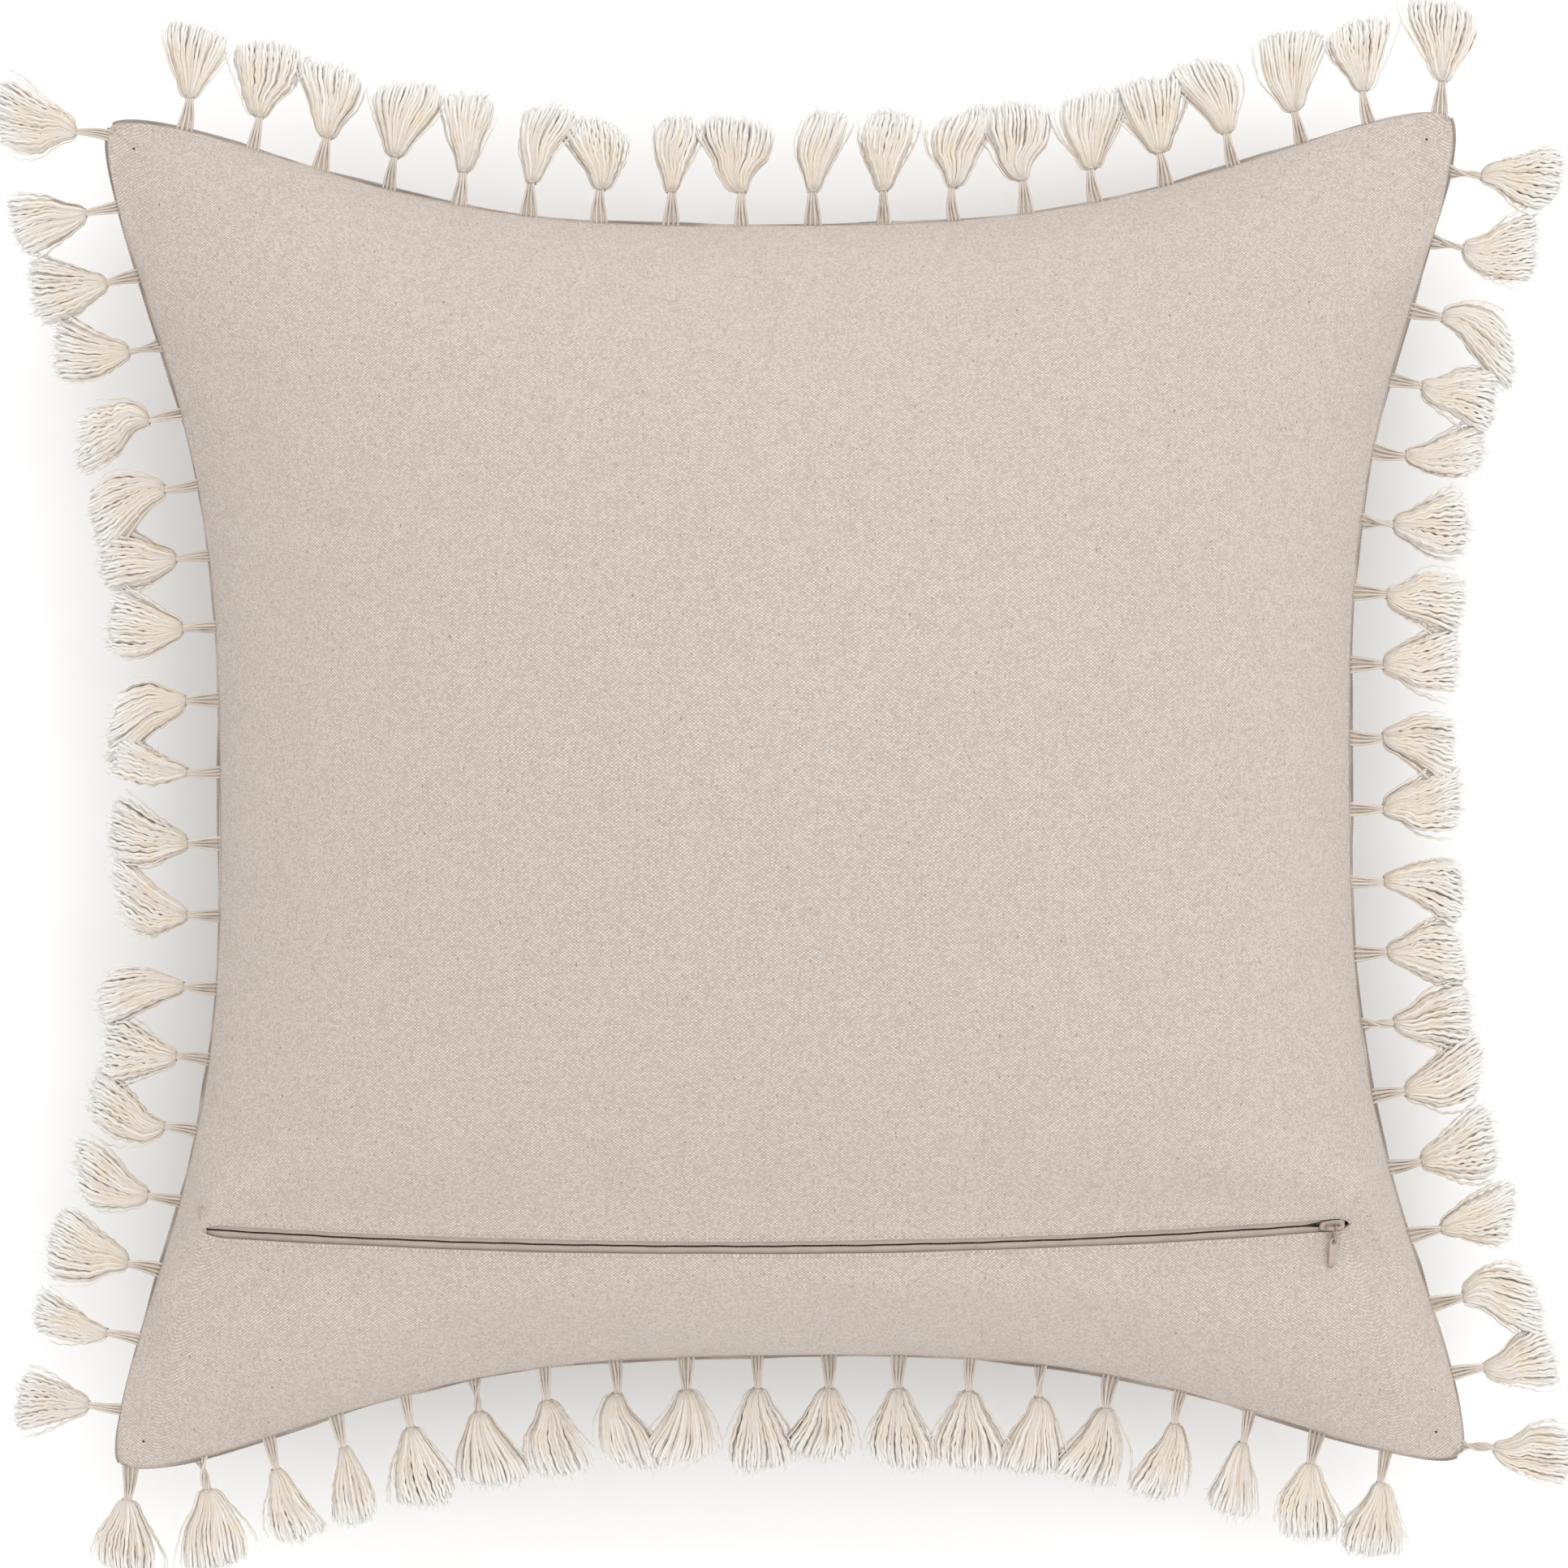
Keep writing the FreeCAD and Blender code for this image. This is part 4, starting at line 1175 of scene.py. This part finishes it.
# The zip

zipLook = {
    "toothPitch": 1.25,       # mm
    "toothRadius": 0.27,
    "tapeInner": 0.3,
    "tapeOuter": 7.4,
    "tapeTop": -1.4,
    "openFrom": 167.5,        # the tapes part from here to the slider
    "openTo": 172.0,
    "openHalf": 0.8,
    "leftEnd": -191.6,
    "rightEnd": 184.4,
}
sliderX = 176.6


# How far each tape's inner edge has parted from the zip's middle
def openAt(x):
    return (zipLook["openHalf"] - zipLook["tapeInner"]) * smoothStep(
        (x - zipLook["openFrom"]) / (zipLook["openTo"] - zipLook["openFrom"])
    )


# Points at a distance along, across and out from the zip's line, in metres
def place(x, across, height):
    point, _, acrossDirection, outward = zipFrame(x)
    return (point + acrossDirection * np.asarray(across)[..., None]
            + outward * np.asarray(height)[..., None]) * mm


def tapePiece(side, name):
    top = zipLook["tapeTop"]
    inner = zipLook["tapeInner"]
    profile = [(inner + 0.02, top - 0.34), (inner + 0.05, top - 0.08), (inner + 0.28, top + 0.03),
               (inner + 0.62, top - 0.02), (1.5, top - 0.03), (zipLook["tapeOuter"], top - 0.03),
               (zipLook["tapeOuter"], top - 0.45), (inner + 0.02, top - 0.45)]
    x = np.linspace(zipLook["leftEnd"], zipLook["rightEnd"], 420)
    wander = 0.06 * np.sin(x / 5.3) + 0.05 * np.sin(x / 2.1)
    rings = []
    for across, height in profile:
        shift = openAt(x) * (across < 3)
        nearEdge = wander * (across < 1.4)
        rings.append(place(x, side * (across + shift) + nearEdge, height + 0 * x))
    rings = np.stack(rings, axis=1)
    if side < 0:
        rings = rings[:, ::-1]
    points, faces = ringedSurface(rings)
    made = makeObject(name, points, faces, zipTape)
    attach(made, "cushion")
    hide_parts(f"zip_tape_{'upper' if side > 0 else 'lower'}")


# The teeth of one side: a row of loops whose heads meet the other side's
def coilPiece(side, name):
    x = np.arange(zipLook["leftEnd"] + 1, zipLook["rightEnd"] - 2, zipLook["toothPitch"])
    x = x + (0.25 if side > 0 else -0.25) * zipLook["toothPitch"]
    shift = openAt(x)
    # distance across, height and thickness along one tooth
    shape = ((2.0, -2.75, 0.9), (1.2, -2.55, 1.0), (0.75, -2.42, 1.05), (0.42, -2.38, 1.35),
             (0.3, -2.4, 0.8))
    paths = np.stack(
        [place(x, side * (across + shift), height + 0 * x) for across, height, _ in shape], axis=1
    )
    radii = np.array([share for _, _, share in shape])[None] * zipLook["toothRadius"] * mm
    radii = np.repeat(radii, len(x), axis=0)
    _, _, _, outward = zipFrame(x)
    points, faces, attributes = tubes(paths, radii, outward[:, None], 6, np.full(len(x), 0.5))
    made = makeObject(name, points, faces, zipCoil, attributes)
    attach(made, "cushion")
    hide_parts(f"zip_coil_{'upper' if side > 0 else 'lower'}")


for side, half in ((1, "upper"), (-1, "lower")):
    tapePiece(side, f"tape_{half}")
    coilPiece(side, f"coil_{half}")


# A row of short stitches along the zip
def stitchRow(name, side, offset, startX, endX, pitch, radius, height):
    x = np.arange(startX, endX, pitch)
    t = np.linspace(0, 1, 5)
    at = x[:, None] + t[None] * pitch * 0.62
    lift = radius * 0.9 * np.sin(np.pi * t)[None] - radius * 0.7 + height
    half = np.where(at < 185, slotHalf(at), 0.0) if offset > 0 else 0 * at
    point, _, across, outward = zipFrame(at.ravel())
    shape = at.shape
    line = (
        point + across * (side * (half + abs(offset))).ravel()[:, None]
        + outward * np.broadcast_to(lift, shape).ravel()[:, None]
    ).reshape(*shape, 3) * mm
    radii = np.repeat(np.array([[0.5, 1, 1.1, 1, 0.5]]) * radius * mm, len(x), axis=0)
    reference = outward.reshape(*shape, 3)
    points, faces, attributes = tubes(line, radii, reference, 5, np.full(len(x), 0.5))
    made = makeObject(name, points, faces, sewingThread, attributes)
    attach(made, "cushion")


stitchRow("stitches_upper", 1, 1.1, -189, 183, 2.3, 0.16, 0.02)
stitchRow("stitches_lower", -1, 1.1, -189, 183, 2.3, 0.16, 0.02)

sliderLook = {
    "length": 8.5, "tail": 1.5, "shoulder": 1.92, "plateLow": -1.08, "plateTop": 0.28,
    "baseLow": -4.15, "baseTop": -3.5, "round": 0.3,
    "barLow": 1.95, "barTop": 2.85, "barHalf": 2.7, "barWidth": 1.2, "leg": 0.8,
}


# A slider plate, narrow at its tail, with rounded edges, as rings of (x, y, z) in mm
def plateRings(low, high, wide, bevel, stretch=1.0):
    turn = np.linspace(0, 2 * np.pi, 48, endpoint=False)
    half = sliderLook["length"] / 2 * stretch
    power = 0.42
    x = np.sign(np.cos(turn)) * np.abs(np.cos(turn)) ** power
    y = np.sign(np.sin(turn)) * np.abs(np.sin(turn)) ** power
    share = (x + 1) / 2
    tail, shoulder = sliderLook["tail"], sliderLook["shoulder"]
    width = (tail + (shoulder - tail) * smoothStep(share * 1.5)) * wide
    rings = []
    for inset, height in ((bevel, low), (bevel * 0.3, low + bevel * 0.3), (0, low + bevel),
                          (0, high - bevel), (bevel * 0.3, high - bevel * 0.3), (bevel, high)):
        flat = [x * (half - inset), y * (width - inset), np.full(48, height)]
        rings.append(np.stack(flat, axis=1))
    return ringedSurface(rings)


# The slider's bridge, a flat bar bent down to the plate at both ends
def archRings():
    middle = (sliderLook["barLow"] + sliderLook["barTop"]) / 2
    reach = sliderLook["barHalf"] - sliderLook["leg"] / 2
    base = sliderLook["plateTop"] - 0.3
    corner = 0.9
    path = [(-reach, base), (-reach, middle - corner)]
    path += [(-reach + corner * (1 - math.cos(a)), middle - corner * (1 - math.sin(a)))
             for a in np.linspace(0.3, math.pi / 2, 5)]
    path += [(-x, z) for x, z in path[::-1]]
    path = np.array(path)
    tangent = unit(np.gradient(path, axis=0))
    normal = np.stack([-tangent[:, 1], tangent[:, 0]], axis=1)
    turn = np.linspace(0, 2 * np.pi, 16, endpoint=False)
    deep = sliderLook["leg"] / 2 * np.sign(np.cos(turn)) * np.abs(np.cos(turn)) ** 0.6
    wide = sliderLook["barWidth"] / 2 * np.sign(np.sin(turn)) * np.abs(np.sin(turn)) ** 0.6
    rings = [
        np.stack([p[0] + n[0] * deep, wide, p[1] + n[1] * deep], axis=1)
        for p, n in zip(path, normal)
    ]
    return ringedSurface(np.array(rings)[:, ::-1])


def sliderPiece():
    parts = [
        plateRings(sliderLook["plateLow"], sliderLook["plateTop"], 1.0, 0.3),
        plateRings(sliderLook["baseLow"], sliderLook["baseTop"], 1.2, 0.2),
        archRings(),
    ]
    # the web between the plates
    web = [np.array([[-3.6, -0.22, z], [3.9, -0.22, z], [3.9, 0.22, z], [-3.6, 0.22, z]])
           for z in (sliderLook["baseLow"] + 0.3, sliderLook["plateTop"] - 0.5)]
    parts.append(ringedSurface(web))
    points, faces, _ = joinParts([(p, f, {}) for p, f in parts])
    point, along, across, outward = (v[0] for v in zipFrame(sliderX))
    world = point + points[:, :1] * along + points[:, 1:2] * across + points[:, 2:] * outward
    made = makeObject("slider_body", world * mm, faces, sliderPaint)
    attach(made, "slider")
    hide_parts("zip_slider")


sliderPiece()

pullLook = {"eye": 1.45, "hole": 0.75, "end": 1.2, "length": 8.2, "thick": 1.0}


# The drop-shaped tab: rounded front, back and edge, with a round eye
def pullPiece():
    swing = joints["pull_tab_swing"]
    origin = np.array(swing["pos_m"]) / mm
    normal = unit(np.array(swing["axis"]))
    linkEnd = np.array(joints["pull_link_swing"]["pos_m"]) / mm
    out = unit(origin - linkEnd)
    normal = unit(normal - out * (normal @ out))
    wide = np.cross(normal, out)
    turn = np.linspace(0, 2 * np.pi, 64, endpoint=False)
    eye, end, long = pullLook["eye"], pullLook["end"], pullLook["length"]
    # support function of two circles' hull
    lean = math.acos((eye - end) / long)
    direction = np.stack([np.cos(turn), np.sin(turn)], axis=1)
    nearTip = np.abs(np.angle(np.exp(1j * turn))) < lean
    outline = np.where(nearTip[:, None], np.array([long, 0]) + direction * end, direction * eye)
    hole = direction * pullLook["hole"]
    rings = []
    profile = ((0.0, 0.0), (0.06, 0.34), (0.2, 0.48), (0.5, 0.5), (0.78, 0.46), (0.94, 0.3),
               (1.0, 0.0), (0.94, -0.3), (0.78, -0.46), (0.5, -0.5), (0.2, -0.48), (0.06, -0.34))
    for share, height in profile:
        flat = hole + (outline - hole) * share
        rings.append(np.column_stack([flat, np.full(len(turn), height * pullLook["thick"])]))
    rings.append(rings[0])
    rings = np.array(rings)
    count, around = rings.shape[0] - 1, rings.shape[1]
    index = np.arange(count * around).reshape(count, around)
    down = np.roll(index, -1, axis=0)
    faces = np.stack([index, down, np.roll(down, -1, axis=1), np.roll(index, -1, axis=1)], -1)
    faces = faces.reshape(-1, 4)
    flat = rings[:-1].reshape(-1, 3)
    world = origin + flat[:, :1] * out + flat[:, 1:2] * wide + flat[:, 2:] * normal
    made = makeObject("pull_tab_body", world * mm, faces.tolist(), pullPaint)
    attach(made, "pull_tab")
    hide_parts("zip_pull_tab")


pullPiece()
say("zip")

# CAD nodes that show as they are, and the inner ones

for node, material, slotName in (
    ("seam_overlock", sewingThread, "sewing_thread"),
    ("corner_tacks", darkThread, "dark_thread"),
    ("zip_end_tacks", sewingThread, "sewing_thread"),
    ("zip_pull_link", linkWire, "link_wire"),
    ("insert_casing_front", casingCloth, "casing_cloth"),
    ("insert_casing_back", casingCloth, "casing_cloth"),
    ("insert_filling", fibreFilling, "fibre_filling"),
):
    carried = frame["nodes"][node]
    carried.data.materials.clear()
    carried.data.materials.append(material)
say("carried nodes")

# Floor, light and camera

floorMaterial, _, floorShader = newMaterial("floorPaint")
floorShader.inputs["Base Color"].default_value = (0.94, 0.94, 0.94, 1)
floorShader.inputs["Roughness"].default_value = 0.9
floor = makeObject("floor", [(-6, -6, 0), (6, -6, 0), (6, 6, 0), (-6, 6, 0)], [(0, 1, 2, 3)],
                   floorMaterial, smooth=False)

world = bpy.data.worlds.new("studio")
world.use_nodes = True
world.node_tree.nodes["Background"].inputs["Color"].default_value = (1.0, 1.0, 1.0, 1)
world.node_tree.nodes["Background"].inputs["Strength"].default_value = 0.86 * studioGain
scene.world = world


def softLight(name, location, size, watts):
    data = bpy.data.lights.new(name, "AREA")
    data.shape = "SQUARE"
    data.size = size
    data.energy = watts
    lamp = bpy.data.objects.new(name, data)
    lamp.location = location
    lamp.rotation_euler = (-Vector(location)).to_track_quat("-Z", "Y").to_euler()
    scene.collection.objects.link(lamp)


softLight("key", (1.0, 1.9, 2.3), 1.6, 20 * studioGain)
softLight("fill", (0.2, -1.8, 2.4), 2.4, 8 * studioGain)

cameraLook = {
    "lens": 180.0,
    "width": 0.5138,          # metres across the picture at the seam's height
    "roll": -0.42,            # degrees
    "aim": (-0.0003, 0.0021),
}
cameraData = bpy.data.cameras.new("camera")
cameraData.lens = cameraLook["lens"]
cameraData.sensor_width = 36.0
cameraData.clip_end = 50
camera = bpy.data.objects.new("camera", cameraData)
distance = cameraLook["width"] * cameraLook["lens"] / 36.0
camera.location = (*cameraLook["aim"], seamZ * mm + distance)
camera.rotation_euler = (0, 0, math.radians(cameraLook["roll"]))
scene.collection.objects.link(camera)
scene.camera = camera
scene.view_settings.view_transform = "Standard"
